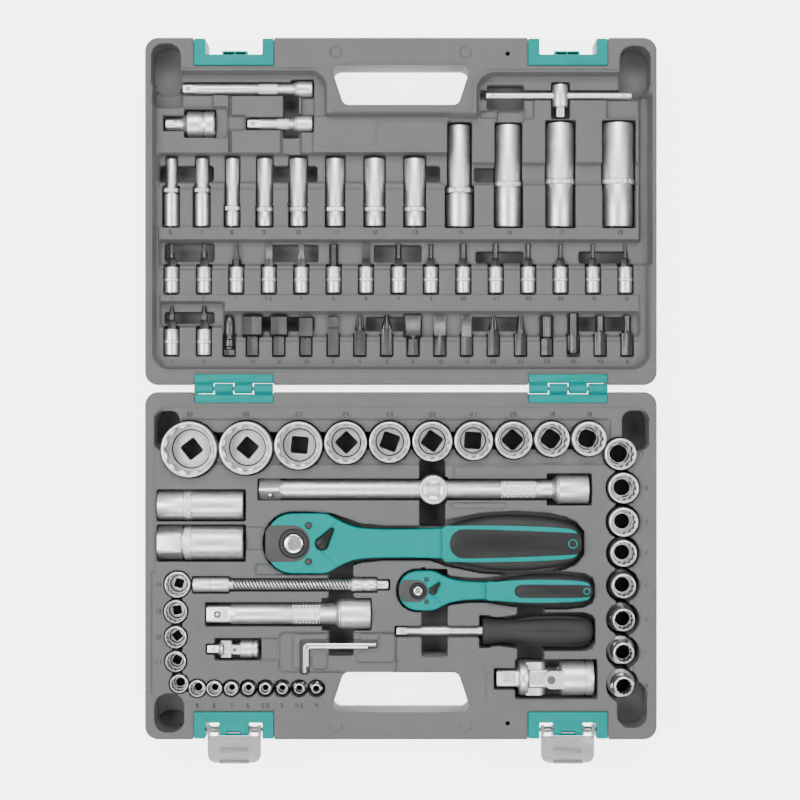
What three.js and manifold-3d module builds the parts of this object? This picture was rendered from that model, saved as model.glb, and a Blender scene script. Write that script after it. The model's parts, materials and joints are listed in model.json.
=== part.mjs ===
// Socket wrench set in a blow-moulded carrying case, standing open flat.
// Units are millimetres. +X runs along the hinge line, +Y towards the lid, +Z up.
// The origin lies under the centre of the open case, on the surface that it rests on.
// Inside the file, Y counts from the hinge line: the base lies at -Y and the lid at +Y.

import * as THREE from 'three';
import { mergeVertices } from 'three/addons/utils/BufferGeometryUtils.js';
import Module from 'manifold-3d';

const wasm = await Module();
wasm.setup();

// Case
const CASE_WIDTH = 386;
const SHELL_HEIGHT = 44;
const SHELL_NEAR = 2.6; // from the hinge line to a shell's rear edge
const SHELL_FAR = 264.6; // from the hinge line to a shell's front edge
const CORNER_RADIUS = 10;
const WALL = 2;
const LID_TRAY = 34; // height of the lid's recessed tray surface
const CLOSED_GAP = 0.5; // between the two rims when the case is shut
const ABOVE = 60; // any height well clear of the shells, for cutting tools

// Handle openings
const HANDLE_HALF_WIDTH = 51;
const HANDLE_NEAR = 213.5;
const HANDLE_FAR = 244;
const HANDLE_RADIUS = 9;

// Hinges
const HINGE_CENTRE = 126;
const HINGE_WIDTH = 59;
const HINGE_AXIS_Z = SHELL_HEIGHT + CLOSED_GAP / 2;
const KNUCKLE_RADIUS = 3.75;
const LEAF_FAR = 10.5;
const LEAF_DEPTH = 10;
const PIN_RADIUS = 1.5;
const PIN_CLEARANCE = 0.4;

// Latches and catches
const LATCH_CENTRE = 126;
const LATCH_WIDTH = 60;
const LATCH_NEAR = 243.8;
const LATCH_STRIP = 8.2;
const LATCH_FAR = 264;
const LATCH_FLOOR = 14;
const ARM_WIDTH = 8.5;
const BLOCK_WIDTH = 22;
const BLOCK_RADIUS = 4.6; // of the block's round front, about the pin
const LATCH_PIN_Y = 257.8;
const LATCH_PIN_Z = 39.2;
const LATCH_PIN_LENGTH = 43;
const FLAP_WIDTH = 41;
const FLAP_START = 5.1; // from the pin to the inner edge of the flap's web
const FLAP_REACH = 25.2; // from the pin to the flap's tip
const FLAP_THICKNESS = 2.5;
const FLAP_LIP = 3;
const EAR_RADIUS = 3.2;
const NUB_WIDTH = 19;
const NUB_FAR = 255.9;
const NUB_BOTTOM = 27.5;
const NUB_TOP = 36;

// Vent of the hollow between the skins
const VENT_RADIUS = 1.6;
const VENT_X = 80.5;
const VENT_Y = 252.6;

// Fits
const GAP = 0.3; // between two pieces that touch on the real object
const POCKET_GAP = 0.7; // between a tool and its pocket
const ROUND = 16; // sides of a round piece
const SMALL_ROUND = 10;

// The hinge line sits where the bounding box of the open case is centred on the origin.
const HINGE_LINE_Y = (LATCH_PIN_Y + FLAP_REACH - SHELL_FAR) / 2;

const group = new THREE.Group();
group.position.y = HINGE_LINE_Y;

const finish = {
  shell: { color: 0x7f8080, roughness: 0.62, metalness: 0 },
  teal: { color: 0x0fa69b, roughness: 0.42, metalness: 0 },
  flap: { color: 0xa9abab, roughness: 0.3, metalness: 0 },
  satin: { color: 0xc9cac8, roughness: 0.32, metalness: 0.95 },
  steel: { color: 0x9c9d9b, roughness: 0.4, metalness: 0.9 },
  rubber: { color: 0x252627, roughness: 0.75, metalness: 0 },
  dark: { color: 0x3b3c3d, roughness: 0.45, metalness: 0.6 },
};

// Geometry helpers

// A closed geometry as a solid that can be joined and cut.
function solid(geometry, placement = new THREE.Matrix4()) {
  const bare = geometry.clone().applyMatrix4(placement);
  bare.deleteAttribute('normal');
  bare.deleteAttribute('uv');
  const merged = mergeVertices(bare, 1e-4);
  const triangles = [];
  const index = merged.index.array;
  for (let i = 0; i < index.length; i += 3) {
    const [a, b, c] = index.slice(i, i + 3);
    if (a !== b && b !== c && c !== a) triangles.push(a, b, c);
  }
  const vertProperties = new Float32Array(merged.attributes.position.array);
  const triVerts = new Uint32Array(triangles);
  return new wasm.Manifold(new wasm.Mesh({ numProp: 3, vertProperties, triVerts }));
}

function joined(solids) {
  return solids.reduce((whole, piece) => whole.add(piece));
}

function cutBy(body, tools) {
  return tools.reduce((rest, tool) => rest.subtract(tool), body);
}

function place(x, y, z, turn = 0) {
  return new THREE.Matrix4().makeRotationZ(turn).setPosition(x, y, z);
}

function block([x0, x1], [y0, y1], [z0, z1], placement) {
  const geometry = new THREE.BoxGeometry(x1 - x0, y1 - y0, z1 - z0);
  geometry.translate((x0 + x1) / 2, (y0 + y1) / 2, (z0 + z1) / 2);
  return solid(geometry, placement);
}

// A cylinder along X, Y or Z between two stations of that axis; centre holds the other two coordinates in order.
function rod(axis, radius, [from, to], [u, v], sides = ROUND) {
  const geometry = new THREE.CylinderGeometry(radius, radius, to - from, sides);
  const middle = (from + to) / 2;
  if (axis === 'x') geometry.rotateZ(-Math.PI / 2).translate(middle, u, v);
  if (axis === 'y') geometry.translate(u, middle, v);
  if (axis === 'z') geometry.rotateX(Math.PI / 2).translate(u, v, middle);
  return solid(geometry);
}

// A turned body along +X, or along +Z when upright: steps lists [start, end, radius, end radius] in order.
function turned(steps, sides = ROUND, upright = false, placement = undefined) {
  const profile = [new THREE.Vector2(0, steps[0][0])];
  for (const [start, end, radius, endRadius = radius] of steps) {
    profile.push(new THREE.Vector2(radius, start));
    profile.push(new THREE.Vector2(endRadius, end));
  }
  profile.push(new THREE.Vector2(0, steps.at(-1)[1]));
  const geometry = new THREE.LatheGeometry(profile, sides);
  return solid(upright ? geometry.rotateX(Math.PI / 2) : geometry.rotateZ(-Math.PI / 2), placement);
}

// A hexagonal prism along Z, flat to flat across.
function hexagon(across, [z0, z1], x = 0, y = 0) {
  const geometry = new THREE.CylinderGeometry(across / Math.sqrt(3), across / Math.sqrt(3), z1 - z0, 6);
  return solid(geometry.rotateX(Math.PI / 2).translate(x, y, (z0 + z1) / 2));
}

// A flat outline in the XY plane raised from z0 to z1.
function plate(outline, [z0, z1], curveSegments = 3) {
  const geometry = new THREE.ExtrudeGeometry(outline, { depth: z1 - z0, bevelEnabled: false, curveSegments });
  return solid(geometry.translate(0, 0, z0));
}

function roundedOutline([x0, x1], [y0, y1], radius) {
  const outline = new THREE.Shape();
  outline.absarc(x1 - radius, y1 - radius, radius, 0, Math.PI / 2);
  outline.absarc(x0 + radius, y1 - radius, radius, Math.PI / 2, Math.PI);
  outline.absarc(x0 + radius, y0 + radius, radius, Math.PI, Math.PI * 1.5);
  outline.absarc(x1 - radius, y0 + radius, radius, Math.PI * 1.5, Math.PI * 2);
  return outline;
}

// Adds a solid to the set as a named mesh with its own material, at a place of its own.
function addPart(name, shape, look, [x, y, z] = [0, 0, 0], turn = 0) {
  const { vertProperties, triVerts } = shape.getMesh();
  const geometry = new THREE.BufferGeometry();
  geometry.setAttribute('position', new THREE.BufferAttribute(vertProperties, 3));
  geometry.setIndex(new THREE.BufferAttribute(triVerts, 1));
  geometry.computeVertexNormals();
  const mesh = new THREE.Mesh(geometry, new THREE.MeshStandardMaterial(finish[look]));
  mesh.name = name;
  mesh.position.set(x, y, z);
  mesh.rotation.z = turn;
  group.add(mesh);
}

// Pockets: each is a space cut into a shell from above. It is kept as a function of how far its walls grow, so
// that the same pocket, grown by the wall, also bounds the hollow between the two skins of the shell.

const basePockets = [];
const lidPockets = [];

function boxPocket(list, xs, ys, floor, placement) {
  list.push((grow) => block([xs[0] - grow, xs[1] + grow], [ys[0] - grow, ys[1] + grow], [floor - grow, ABOVE],
    placement));
}

// A round pocket's grown copy is square, because only the hidden side of the wall follows it.
function roundPocket(list, x, y, radius, floor, sides = ROUND) {
  list.push((grow) => {
    if (grow === 0) return rod('z', radius, [floor, ABOVE], [x, y], sides);
    const reach = radius + grow;
    return block([x - reach, x + reach], [y - reach, y + reach], [floor - grow, ABOVE]);
  });
}

// Lying tools: a turned body along its own X, with an optional square drive and an optional square recess.

function squareBar(side, [from, to]) {
  return block([from, to], [-side / 2, side / 2], [-side / 2, side / 2]);
}

// tool.steps are the round stretches; tool.drive is [side, from, to]; tool.recess is [side, from, to].
function lyingTool(tool) {
  let body = turned(tool.steps, tool.sides);
  if (tool.drive) body = body.add(squareBar(tool.drive[0], tool.drive.slice(1)));
  if (tool.recess) body = body.subtract(squareBar(tool.recess[0], tool.recess.slice(1)));
  return body;
}

// The trough under a lying tool: one box for each stretch, each as wide as the tool there.
function trough(list, tool, gap = POCKET_GAP, endGap = POCKET_GAP) {
  const stretches = tool.steps.map(([from, to, radius, endRadius = radius]) =>
    [from, to, Math.max(radius, endRadius)]);
  if (tool.drive) stretches.push([tool.drive[1], tool.drive[2], tool.drive[0] / 2]);
  const placement = place(...tool.at, tool.turn);
  const first = Math.min(...stretches.map(([from]) => from));
  const last = Math.max(...stretches.map(([, to]) => to));
  for (const [from, to, radius] of stretches) {
    const start = from === first ? from - endGap : from - gap;
    const end = to === last ? to + endGap : to + gap;
    boxPocket(list, [start, end], [-radius - gap, radius + gap], -radius - gap, placement);
  }
}

function addLyingTool(list, tool) {
  addPart(tool.name, lyingTool(tool), tool.look ?? 'satin', tool.at, tool.turn);
  trough(list, tool);
}

// Sockets

// An upright socket standing at z = 0: drive square below, hexagon above. nose is the outer diameter around the
// hexagon.
function socket({ size, drive, diameter, nose = diameter, height, shoulder = height / 2, x = 0, y = 0 },
  sides = ROUND) {
  const steps = [[0, shoulder, diameter / 2], [shoulder, height, nose / 2]];
  const outer = turned(steps, sides, true, place(x, y, 0));
  const bore = hexagon(size, [height * 0.55, height + 1], x, y);
  const square = block([x - drive / 2, x + drive / 2], [y - drive / 2, y + drive / 2], [-1, height]);
  return outer.subtract(bore).subtract(square);
}

// Large sockets of the half inch drive, in one row with a common rear edge.
const HALF_DRIVE = 12.7;
const QUARTER_DRIVE = 6.35;
const ROW_START = -180.4;
const ROW_REAR = -24.8;
const ROW_GAP = 1.6;
const LARGE_SOCKETS = [
  { size: 32, diameter: 42, height: 44 },
  { size: 30, diameter: 40, height: 42 },
  { size: 27, diameter: 36, height: 42 },
  { size: 24, diameter: 32, height: 40 },
  { size: 23, diameter: 31, height: 40 },
  { size: 22, diameter: 30, height: 38 },
  { size: 21, diameter: 29, height: 38 },
  { size: 20, diameter: 28, height: 38 },
  { size: 19, diameter: 26.5, height: 38 },
  { size: 18, diameter: 26, height: 38 },
];
const LARGE_TOP = 50; // height of the top of every large socket
let nextEdge = ROW_START;
for (const { size, diameter, height } of LARGE_SOCKETS) {
  const x = nextEdge + diameter / 2;
  const y = ROW_REAR - diameter / 2;
  const floor = LARGE_TOP - height;
  addPart(`socket_${size}mm`, socket({ size, drive: HALF_DRIVE, diameter, height }), 'satin', [x, y, floor]);
  roundPocket(basePockets, x, y, diameter / 2 + POCKET_GAP, floor - POCKET_GAP);
  nextEdge += diameter + ROW_GAP;
}

// A run of small sockets carried on one storage rail, so that the run is a single body. Each entry is a socket
// with its own x and y; the rail is a thin bar through the feet of neighbouring sockets.
const RAIL = 3;
const RUN_ROUND = 8;

function addSocketRun(name, sockets, floor) {
  const bars = [];
  for (let i = 1; i < sockets.length; i++) {
    const from = new THREE.Vector2(sockets[i - 1].x, sockets[i - 1].y);
    const to = new THREE.Vector2(sockets[i].x, sockets[i].y);
    const along = to.clone().sub(from);
    const placement = place(from.x, from.y, 0, along.angle());
    const start = sockets[i - 1].diameter / 2 - 1;
    const end = along.length() - sockets[i].diameter / 2 + 1;
    bars.push(block([start, end], [-RAIL / 2, RAIL / 2], [0, RAIL], placement));
    basePockets.push((grow) => block([start, end], [-RAIL / 2 - POCKET_GAP - grow, RAIL / 2 + POCKET_GAP + grow],
      [floor - POCKET_GAP - grow, ABOVE], placement));
  }
  for (const { x, y, diameter } of sockets) {
    roundPocket(basePockets, x, y, diameter / 2 + POCKET_GAP, floor - POCKET_GAP, RUN_ROUND);
  }
  const cups = sockets.map((spec) => socket(spec, RUN_ROUND));
  addPart(name, joined([...cups, ...bars]), 'satin', [0, 0, floor]);
}

// Half inch sockets 17 to 10 in the column at the right.
const COLUMN_X = 167.6;
const COLUMN_FLOOR = 10;
const HALF_COLUMN = [
  { size: 17, diameter: 24, x: 165.3, y: -49.3 },
  { size: 16, diameter: 23, x: COLUMN_X, y: -74.9 },
  { size: 15, diameter: 22, x: COLUMN_X, y: -100.5 },
  { size: 14, diameter: 22, nose: 20, x: COLUMN_X, y: -124 },
  { size: 13, diameter: 22, nose: 18.5, x: COLUMN_X, y: -148.5 },
  { size: 12, diameter: 22, nose: 17, x: COLUMN_X, y: -174 },
  { size: 11, diameter: 22, nose: 16, x: COLUMN_X, y: -199 },
  { size: 10, diameter: 22, nose: 15, x: COLUMN_X, y: -224.1 },
].map((spec) => ({ ...spec, drive: HALF_DRIVE, height: 38 }));
addSocketRun('half_inch_sockets_10_to_17mm', HALF_COLUMN, COLUMN_FLOOR);

// Quarter inch sockets: five down the left side, then eight to the right along the front.
const QUARTER_FLOOR = 19;
const QUARTER_X = -170;
const FRONT_ROW_Y = -226.3;
const FRONT_ROW_START = -153.7;
const FRONT_ROW_PITCH = 12.83;
const QUARTER_LEFT = [
  { size: 14, diameter: 19.7, x: -168.7, y: -147.9 },
  { size: 13, diameter: 17.5, x: QUARTER_X, y: -168.3 },
  { size: 12, diameter: 16.7, x: QUARTER_X, y: -187.6 },
  { size: 11, diameter: 15.7, x: QUARTER_X, y: -206 },
  { size: 10, diameter: 14, x: -167.4, y: -222.7 },
];
const FRONT_SIZES = [9, 8, 7, 6, 5.5, 5, 4.5, 4];
const QUARTER_FRONT = FRONT_SIZES.map((size, i) => ({
  size,
  diameter: i ? 11.8 : 12.9,
  nose: size > 7 ? undefined : size + 3.6,
  x: FRONT_ROW_START + FRONT_ROW_PITCH * i,
  y: FRONT_ROW_Y,
}));
const QUARTER_SOCKETS = [...QUARTER_LEFT, ...QUARTER_FRONT].map((spec) => ({
  ...spec, drive: QUARTER_DRIVE, height: 25 }));
addSocketRun('quarter_inch_sockets_4_to_14mm', QUARTER_SOCKETS, QUARTER_FLOOR);

// Lying tools in the base. x runs from each tool's left end.
const SPARK_RECESS = 16;
const LYING_IN_BASE = [
  { name: 'spark_plug_socket_16mm', at: [-184, -88.2, 35], steps: [[0, 65, 11.15]],
    recess: [HALF_DRIVE, -1, 20] },
  { name: 'spark_plug_socket_21mm', at: [-184, -116.5, 35], steps: [[0, 19.5, 12.2], [19.5, 65, 13]],
    recess: [SPARK_RECESS, 30, 66] },
  { name: 'extension_125mm', at: [-147.1, -170.5, 36], steps: [[15, 101.4, 8], [101.4, 124.3, 11.5]],
    drive: [HALF_DRIVE, 0, 17], recess: [HALF_DRIVE, 106, 125] },
  { name: 'flexible_extension', at: [-157.1, -148.2, 39],
    steps: [[0, 27.5, 5.75], [27.5, 120, 4.05], [120, 138.7, 5.15]], sides: SMALL_ROUND,
    drive: [QUARTER_DRIVE, 137, 147.7], recess: [QUARTER_DRIVE, -1, 12] },
];
for (const tool of LYING_IN_BASE) addLyingTool(basePockets, tool);

// Extension of 250 mm, and the three-way adapter whose cross bore its shaft passes through.
const LONG_EXTENSION = {
  name: 'extension_250mm', at: [-107.4, -76.2, 36], steps: [[15, 226.1, 7], [226.1, 249.3, 11]],
  drive: [HALF_DRIVE, 0, 17], recess: [HALF_DRIVE, 230, 250],
};
addLyingTool(basePockets, LONG_EXTENSION);
const ADAPTER_X = 24.5;
const ADAPTER_RADIUS = 11;
const ADAPTER_BORE = 7.4;
const ADAPTER_HEIGHT = [21, 48.5];
const ADAPTER_SLIDE = 2; // how far the adapter can slide along the shaft in its pocket, each way
const [, LONG_Y, LONG_Z] = LONG_EXTENSION.at;
const adapterBody = joined([
  rod('z', ADAPTER_RADIUS, ADAPTER_HEIGHT, [ADAPTER_X, LONG_Y]),
  block([ADAPTER_X - HALF_DRIVE / 2, ADAPTER_X + HALF_DRIVE / 2],
    [LONG_Y - HALF_DRIVE / 2, LONG_Y + HALF_DRIVE / 2], [7, ADAPTER_HEIGHT[0] + 1]),
]);
const THREE_EIGHTHS = 9.6;
const adapterCuts = [
  rod('x', ADAPTER_BORE, [ADAPTER_X - 20, ADAPTER_X + 20], [LONG_Y, LONG_Z]),
  block([ADAPTER_X - THREE_EIGHTHS / 2, ADAPTER_X + THREE_EIGHTHS / 2],
    [LONG_Y - THREE_EIGHTHS / 2, LONG_Y + THREE_EIGHTHS / 2], [LONG_Z + ADAPTER_BORE - 2, ABOVE]),
];
addPart('three_way_adapter', cutBy(adapterBody, adapterCuts), 'satin');
const adapterReach = ADAPTER_RADIUS + ADAPTER_SLIDE + POCKET_GAP;
boxPocket(basePockets, [ADAPTER_X - adapterReach, ADAPTER_X + adapterReach],
  [LONG_Y - ADAPTER_RADIUS - POCKET_GAP, LONG_Y + ADAPTER_RADIUS + POCKET_GAP], ADAPTER_HEIGHT[0] - POCKET_GAP);
const driveReach = HALF_DRIVE / 2 + POCKET_GAP;
boxPocket(basePockets, [ADAPTER_X - driveReach - ADAPTER_SLIDE, ADAPTER_X + driveReach + ADAPTER_SLIDE],
  [LONG_Y - driveReach, LONG_Y + driveReach], 7 - POCKET_GAP);

// Ratchets. Each lies with its drive square down; x counts from the drive's axis to the right.
function addRatchet(prefix, size) {
  const { at: [x, y], top, head, neck, grip, drive, button, lever, slit } = size;
  const bodyOutline = new THREE.Shape();
  bodyOutline.absarc(0, 0, head.radius, Math.PI / 3, Math.PI * 5 / 3);
  bodyOutline.lineTo(head.shoulder, -head.radius * 0.8);
  bodyOutline.lineTo(neck.start, -neck.width / 2);
  bodyOutline.lineTo(neck.end, -neck.width / 2);
  bodyOutline.lineTo(neck.end, neck.width / 2);
  bodyOutline.lineTo(neck.start, neck.width / 2);
  bodyOutline.lineTo(head.shoulder, head.radius * 0.8);
  const bodyBottom = top - head.height;
  const body = cutBy(plate(bodyOutline, [bodyBottom, top], 5), [
    rod('z', drive.radius + GAP, [0, ABOVE], [0, 0]),
    rod('z', lever.pivot + GAP, [top - lever.depth - GAP, ABOVE], [lever.x, 0], SMALL_ROUND),
  ]);
  addPart(`${prefix}_body`, body, 'teal', [x, y, 0]);

  const gripOutline = new THREE.Shape();
  const half = grip.width / 2;
  gripOutline.moveTo(grip.start, -half * 0.7);
  gripOutline.quadraticCurveTo((grip.start + grip.end) / 2, -half * 1.3, grip.end - half, -half * 0.72);
  gripOutline.absarc(grip.end - half * 0.72, 0, half * 0.72, -Math.PI / 2, Math.PI / 2);
  gripOutline.quadraticCurveTo((grip.start + grip.end) / 2, half * 1.3, grip.start, half * 0.7);
  const gripMiddle = (top + bodyBottom) / 2;
  const tang = block([grip.start - 1, neck.end + GAP], [-neck.width / 2 - GAP, neck.width / 2 + GAP],
    [bodyBottom - GAP, top + GAP]);
  const gripBlock = plate(gripOutline, [gripMiddle - grip.height / 2, gripMiddle + grip.height / 2], 6);
  addPart(`${prefix}_grip`, gripBlock.subtract(tang), 'rubber', [x, y, 0]);

  const driveBody = joined([
    rod('z', drive.radius, [bodyBottom, top + 0.6], [0, 0]),
    block([-drive.side / 2, drive.side / 2], [-drive.side / 2, drive.side / 2],
      [bodyBottom - drive.length, bodyBottom + 1]),
  ]);
  const well = rod('z', button.radius + GAP, [top - button.depth, ABOVE], [0, 0]);
  addPart(`${prefix}_drive`, driveBody.subtract(well), 'steel', [x, y, 0]);
  const buttonShape = rod('z', button.radius, [top - button.depth + button.travel + GAP, top + button.proud], [0, 0]);
  addPart(`${prefix}_release_button`, buttonShape, 'satin', [x, y, 0]);

  const leverShape = joined([
    rod('z', lever.pivot, [top - lever.depth, top + GAP + 1], [0, 0], SMALL_ROUND),
    rod('z', lever.radius, [top + GAP, top + GAP + lever.height], [0, 0], SMALL_ROUND),
    block([0, lever.length], [-lever.radius / 2, lever.radius / 2], [top + GAP, top + GAP + lever.height],
      place(0, 0, 0, lever.angle)),
  ]);
  addPart(`${prefix}_direction_lever`, leverShape, 'dark', [x + lever.x, y, 0]);

  const headGap = head.radius + POCKET_GAP;
  roundPocket(basePockets, x, y, headGap, bodyBottom - POCKET_GAP);
  boxPocket(basePockets, [x, x + neck.start], [y - head.radius, y + head.radius], bodyBottom - POCKET_GAP);
  boxPocket(basePockets, [x + neck.start - 1, x + grip.start], [y - slit, y + slit], bodyBottom - POCKET_GAP);
  boxPocket(basePockets, [x + grip.start - POCKET_GAP, x + grip.end + POCKET_GAP],
    [y - half - POCKET_GAP, y + half + POCKET_GAP], gripMiddle - grip.height / 2 - POCKET_GAP);
  roundPocket(basePockets, x, y, drive.side / Math.SQRT2 + POCKET_GAP, bodyBottom - drive.length - POCKET_GAP);
}

addRatchet('large_ratchet', {
  at: [-80.7, -116.6],
  top: 47,
  head: { radius: 21.3, shoulder: 28, height: 17 },
  neck: { start: 46, end: 190, width: 20 },
  grip: { start: 114, end: 217, width: 42, height: 24 },
  drive: { radius: 11.9, side: HALF_DRIVE, length: 16 },
  button: { radius: 7.4, depth: 6, travel: 2, proud: 2 },
  lever: { x: 21.2, radius: 4.2, pivot: 2, depth: 6, length: 13, height: 2.4, angle: Math.PI * 0.3 },
  slit: 12,
});
addRatchet('small_ratchet', {
  at: [12.8, -152.3],
  top: 46,
  head: { radius: 14.6, shoulder: 16, height: 11 },
  neck: { start: 26, end: 112, width: 12.5 },
  grip: { start: 50, end: 131.6, width: 25, height: 18 },
  drive: { radius: 6, side: QUARTER_DRIVE, length: 8 },
  button: { radius: 3.65, depth: 4.5, travel: 1.5, proud: 1.5 },
  lever: { x: 11.2, radius: 2.5, pivot: 1.4, depth: 4, length: 7.5, height: 1.8, angle: Math.PI * 0.3 },
  slit: 8,
});

// Spinner handle with its quarter inch drive.
const DRIVER_AT = [-3.8, -183.5, 35];
const DRIVER_GRIP = 65.5;
const DRIVER_LENGTH = 149.4;
const driverShaft = lyingTool({ steps: [[6, DRIVER_GRIP - GAP, 3.75]], sides: SMALL_ROUND,
  drive: [QUARTER_DRIVE, 0, 8] });
addPart('driver_shaft', driverShaft, 'satin', DRIVER_AT);
const DRIVER_STEPS = [[DRIVER_GRIP, 70, 10.3], [70, 76, 10.3, 8.8], [76, 92, 8.8, 12.4], [92, 141, 12.4],
  [141, DRIVER_LENGTH, 12.4, 9]];
addPart('driver_handle', turned(DRIVER_STEPS), 'rubber', DRIVER_AT);
trough(basePockets, { at: DRIVER_AT, steps: [[0, DRIVER_GRIP, 3.75]] });
trough(basePockets, { at: DRIVER_AT, steps: [[DRIVER_GRIP, DRIVER_LENGTH, 12.4]] });

// Universal joints: a drive fork, a cross block with two crossed trunnions, and a socket fork.
const JOINT_SIDE_GAP = 1.5; // lets a universal joint turn a little sideways in its pocket
const JOINT_END_GAP = 2.6; // lets its far end swing up out of the pocket

function addUniversalJoint(prefix, { at, radius, side, driveLength, socketLength }) {
  const ring = driveLength + 0.58 * radius;
  const firstPin = ring + 0.52 * radius;
  const secondPin = firstPin + 0.78 * radius;
  const yoke = secondPin + 0.62 * radius;
  const end = yoke + socketLength;
  const core = 0.46 * radius;
  const armHalf = 0.46 * radius;
  const pin = 0.2 * radius;
  const armInner = core + GAP;
  const armOuter = radius * 0.96;
  const pinEnd = radius * 0.93;

  const arm = (x0, x1, sign, upright) => {
    const across = [-armHalf, armHalf];
    const out = sign > 0 ? [armInner, armOuter * 0.93] : [-armOuter * 0.93, -armInner];
    return upright ? block([x0, x1], across, out) : block([x0, x1], out, across);
  };
  const driveFork = cutBy(joined([
    squareBar(side, [0, driveLength + 0.5]),
    turned([[driveLength, ring, radius]], ROUND),
    arm(ring - 0.5, firstPin + armHalf, 1, false),
    arm(ring - 0.5, firstPin + armHalf, -1, false),
  ]), [rod('y', pin + GAP, [-radius, radius], [firstPin, 0], SMALL_ROUND)]);
  const crossBlock = joined([
    rod('y', core, [-core, core], [firstPin, 0], SMALL_ROUND),
    block([firstPin, secondPin], [-core * 0.9, core * 0.9], [-core * 0.9, core * 0.9]),
    rod('z', core, [-core, core], [secondPin, 0], SMALL_ROUND),
    rod('y', pin, [-pinEnd, pinEnd], [firstPin, 0], SMALL_ROUND),
    rod('z', pin, [-pinEnd, pinEnd], [secondPin, 0], SMALL_ROUND),
  ]);
  const socketFork = cutBy(joined([
    turned([[yoke, end, radius]], ROUND),
    arm(secondPin - armHalf, yoke + 0.5, 1, true),
    arm(secondPin - armHalf, yoke + 0.5, -1, true),
  ]), [
    rod('z', pin + GAP, [-radius, radius], [secondPin, 0], SMALL_ROUND),
    squareBar(side, [end - 1.1 * side, end + 1]),
  ]);
  addPart(`${prefix}_drive_fork`, driveFork, 'satin', at);
  addPart(`${prefix}_cross_block`, crossBlock, 'steel', at);
  addPart(`${prefix}_socket_fork`, socketFork, 'satin', at);
  trough(basePockets, { at, steps: [[0, driveLength, side / 2]] });
  trough(basePockets, { at, steps: [[driveLength, end, radius]] }, JOINT_SIDE_GAP, JOINT_END_GAP);
}

addUniversalJoint('large_universal_joint', {
  at: [72.3, -219.3, 34], radius: 13.25, side: HALF_DRIVE, driveLength: 16, socketLength: 24.2,
});
addUniversalJoint('small_universal_joint', {
  at: [-146.7, -196.8, 38], radius: 6.8, side: QUARTER_DRIVE, driveLength: 8.5, socketLength: 13,
});

// Hex key: an L of hexagonal bar, here with a square section.
const KEY_BAR = 4;
const KEY_CORNER = [-75, -191];
const KEY_LONG = 55;
const KEY_SHORT = 23;
const KEY_HEIGHT = [39, 43];
const keyArms = (grow, heights) => [
  block([KEY_CORNER[0] - grow, KEY_CORNER[0] + KEY_LONG + grow],
    [KEY_CORNER[1] - KEY_BAR - grow, KEY_CORNER[1] + grow], heights),
  block([KEY_CORNER[0] - grow, KEY_CORNER[0] + KEY_BAR + grow],
    [KEY_CORNER[1] - KEY_SHORT - grow, KEY_CORNER[1] + grow], heights),
];
addPart('hex_key', joined(keyArms(0, KEY_HEIGHT)), 'satin');
basePockets.push((grow) => joined(keyArms(POCKET_GAP + grow, [KEY_HEIGHT[0] - POCKET_GAP - grow, ABOVE])));

// Lid tools. A quarter turn stands a tool's own +X along the lid's +Y.
const QUARTER_TURN = Math.PI / 2;
const LID_TOP = 36; // height of the top of every lid tool

addLyingTool(lidPockets, {
  name: 'extension_100mm', at: [-166, 228, LID_TOP - 5.65], sides: SMALL_ROUND,
  steps: [[7, 84.5, 3.75], [84.5, 98.5, 5.65]], drive: [QUARTER_DRIVE, 0, 8], recess: [QUARTER_DRIVE, 87, 99],
});
addLyingTool(lidPockets, {
  name: 'extension_50mm', at: [-116.7, 201.4, LID_TOP - 5.65], sides: SMALL_ROUND,
  steps: [[7, 35.2, 3.75], [35.2, 49.2, 5.65]], drive: [QUARTER_DRIVE, 0, 8], recess: [QUARTER_DRIVE, 38, 50],
});
addLyingTool(lidPockets, {
  name: 'bit_adapter', at: [-179.6, 201.7, LID_TOP - 10],
  steps: [[0, 10, 4.7], [10, 17, 4.7, 10], [17, 37.8, 10]], recess: [HALF_DRIVE, 22, 38],
});

const DEEP_HALF_TOP = 201.3;
const DEEP_HALF_BOTTOM = 123.5;
const deepHalf = [
  { size: 14, x: 44.6, radius: 10 },
  { size: 15, x: 81.8, radius: 10.25 },
  { size: 17, x: 121.4, radius: 11.3 },
  { size: 19, x: 165.8, radius: 12.5 },
];
const DEEP_QUARTER_TOP = 175.3;
const deepQuarterX = [-174.8, -151.5, -128.4, -103.8, -78.3, -50, -20.1, 10.5];
const deepQuarter = deepQuarterX.map((x, i) => ({ size: 6 + i, x, radius: Math.max(5.9, 4.3 + 0.55 * i) }));

// A run of deep sockets lying side by side across the lid, held on one storage rail under them.
function addDeepRun(name, sockets, [from, to], drive) {
  const rail = 1.5;
  const length = to - from;
  const axisZ = LID_TOP - Math.max(...sockets.map(({ radius }) => radius));
  const cups = sockets.map(({ size, x, radius }) => {
    const placement = place(x, from, 0, QUARTER_TURN);
    const outer = turned([[0, length, radius]], radius > 8 ? ROUND : SMALL_ROUND, false, placement);
    const bore = rod('y', size / 2, [to - length / 3, to + 1], [x, 0], 6);
    const square = block([x - drive / 2, x + drive / 2], [from - 1, from + drive], [-drive / 2, drive / 2]);
    trough(lidPockets, { at: [x, from, axisZ], turn: QUARTER_TURN, steps: [[0, length, radius]] });
    return outer.subtract(bore).subtract(square);
  });
  const bars = sockets.slice(1).map(({ x, radius }, i) => {
    const before = sockets[i];
    return block([before.x + before.radius - 1, x - radius + 1], [from + length / 2 - rail, from + length / 2 + rail],
      [-rail, rail]);
  });
  const middle = from + length / 2;
  boxPocket(lidPockets, [sockets[0].x, sockets.at(-1).x], [middle - rail - POCKET_GAP, middle + rail + POCKET_GAP],
    axisZ - rail - POCKET_GAP);
  addPart(name, joined([...cups, ...bars]), 'satin', [0, 0, axisZ]);
}
addDeepRun('deep_quarter_inch_sockets', deepQuarter, [123.6, DEEP_QUARTER_TOP], QUARTER_DRIVE);
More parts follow.
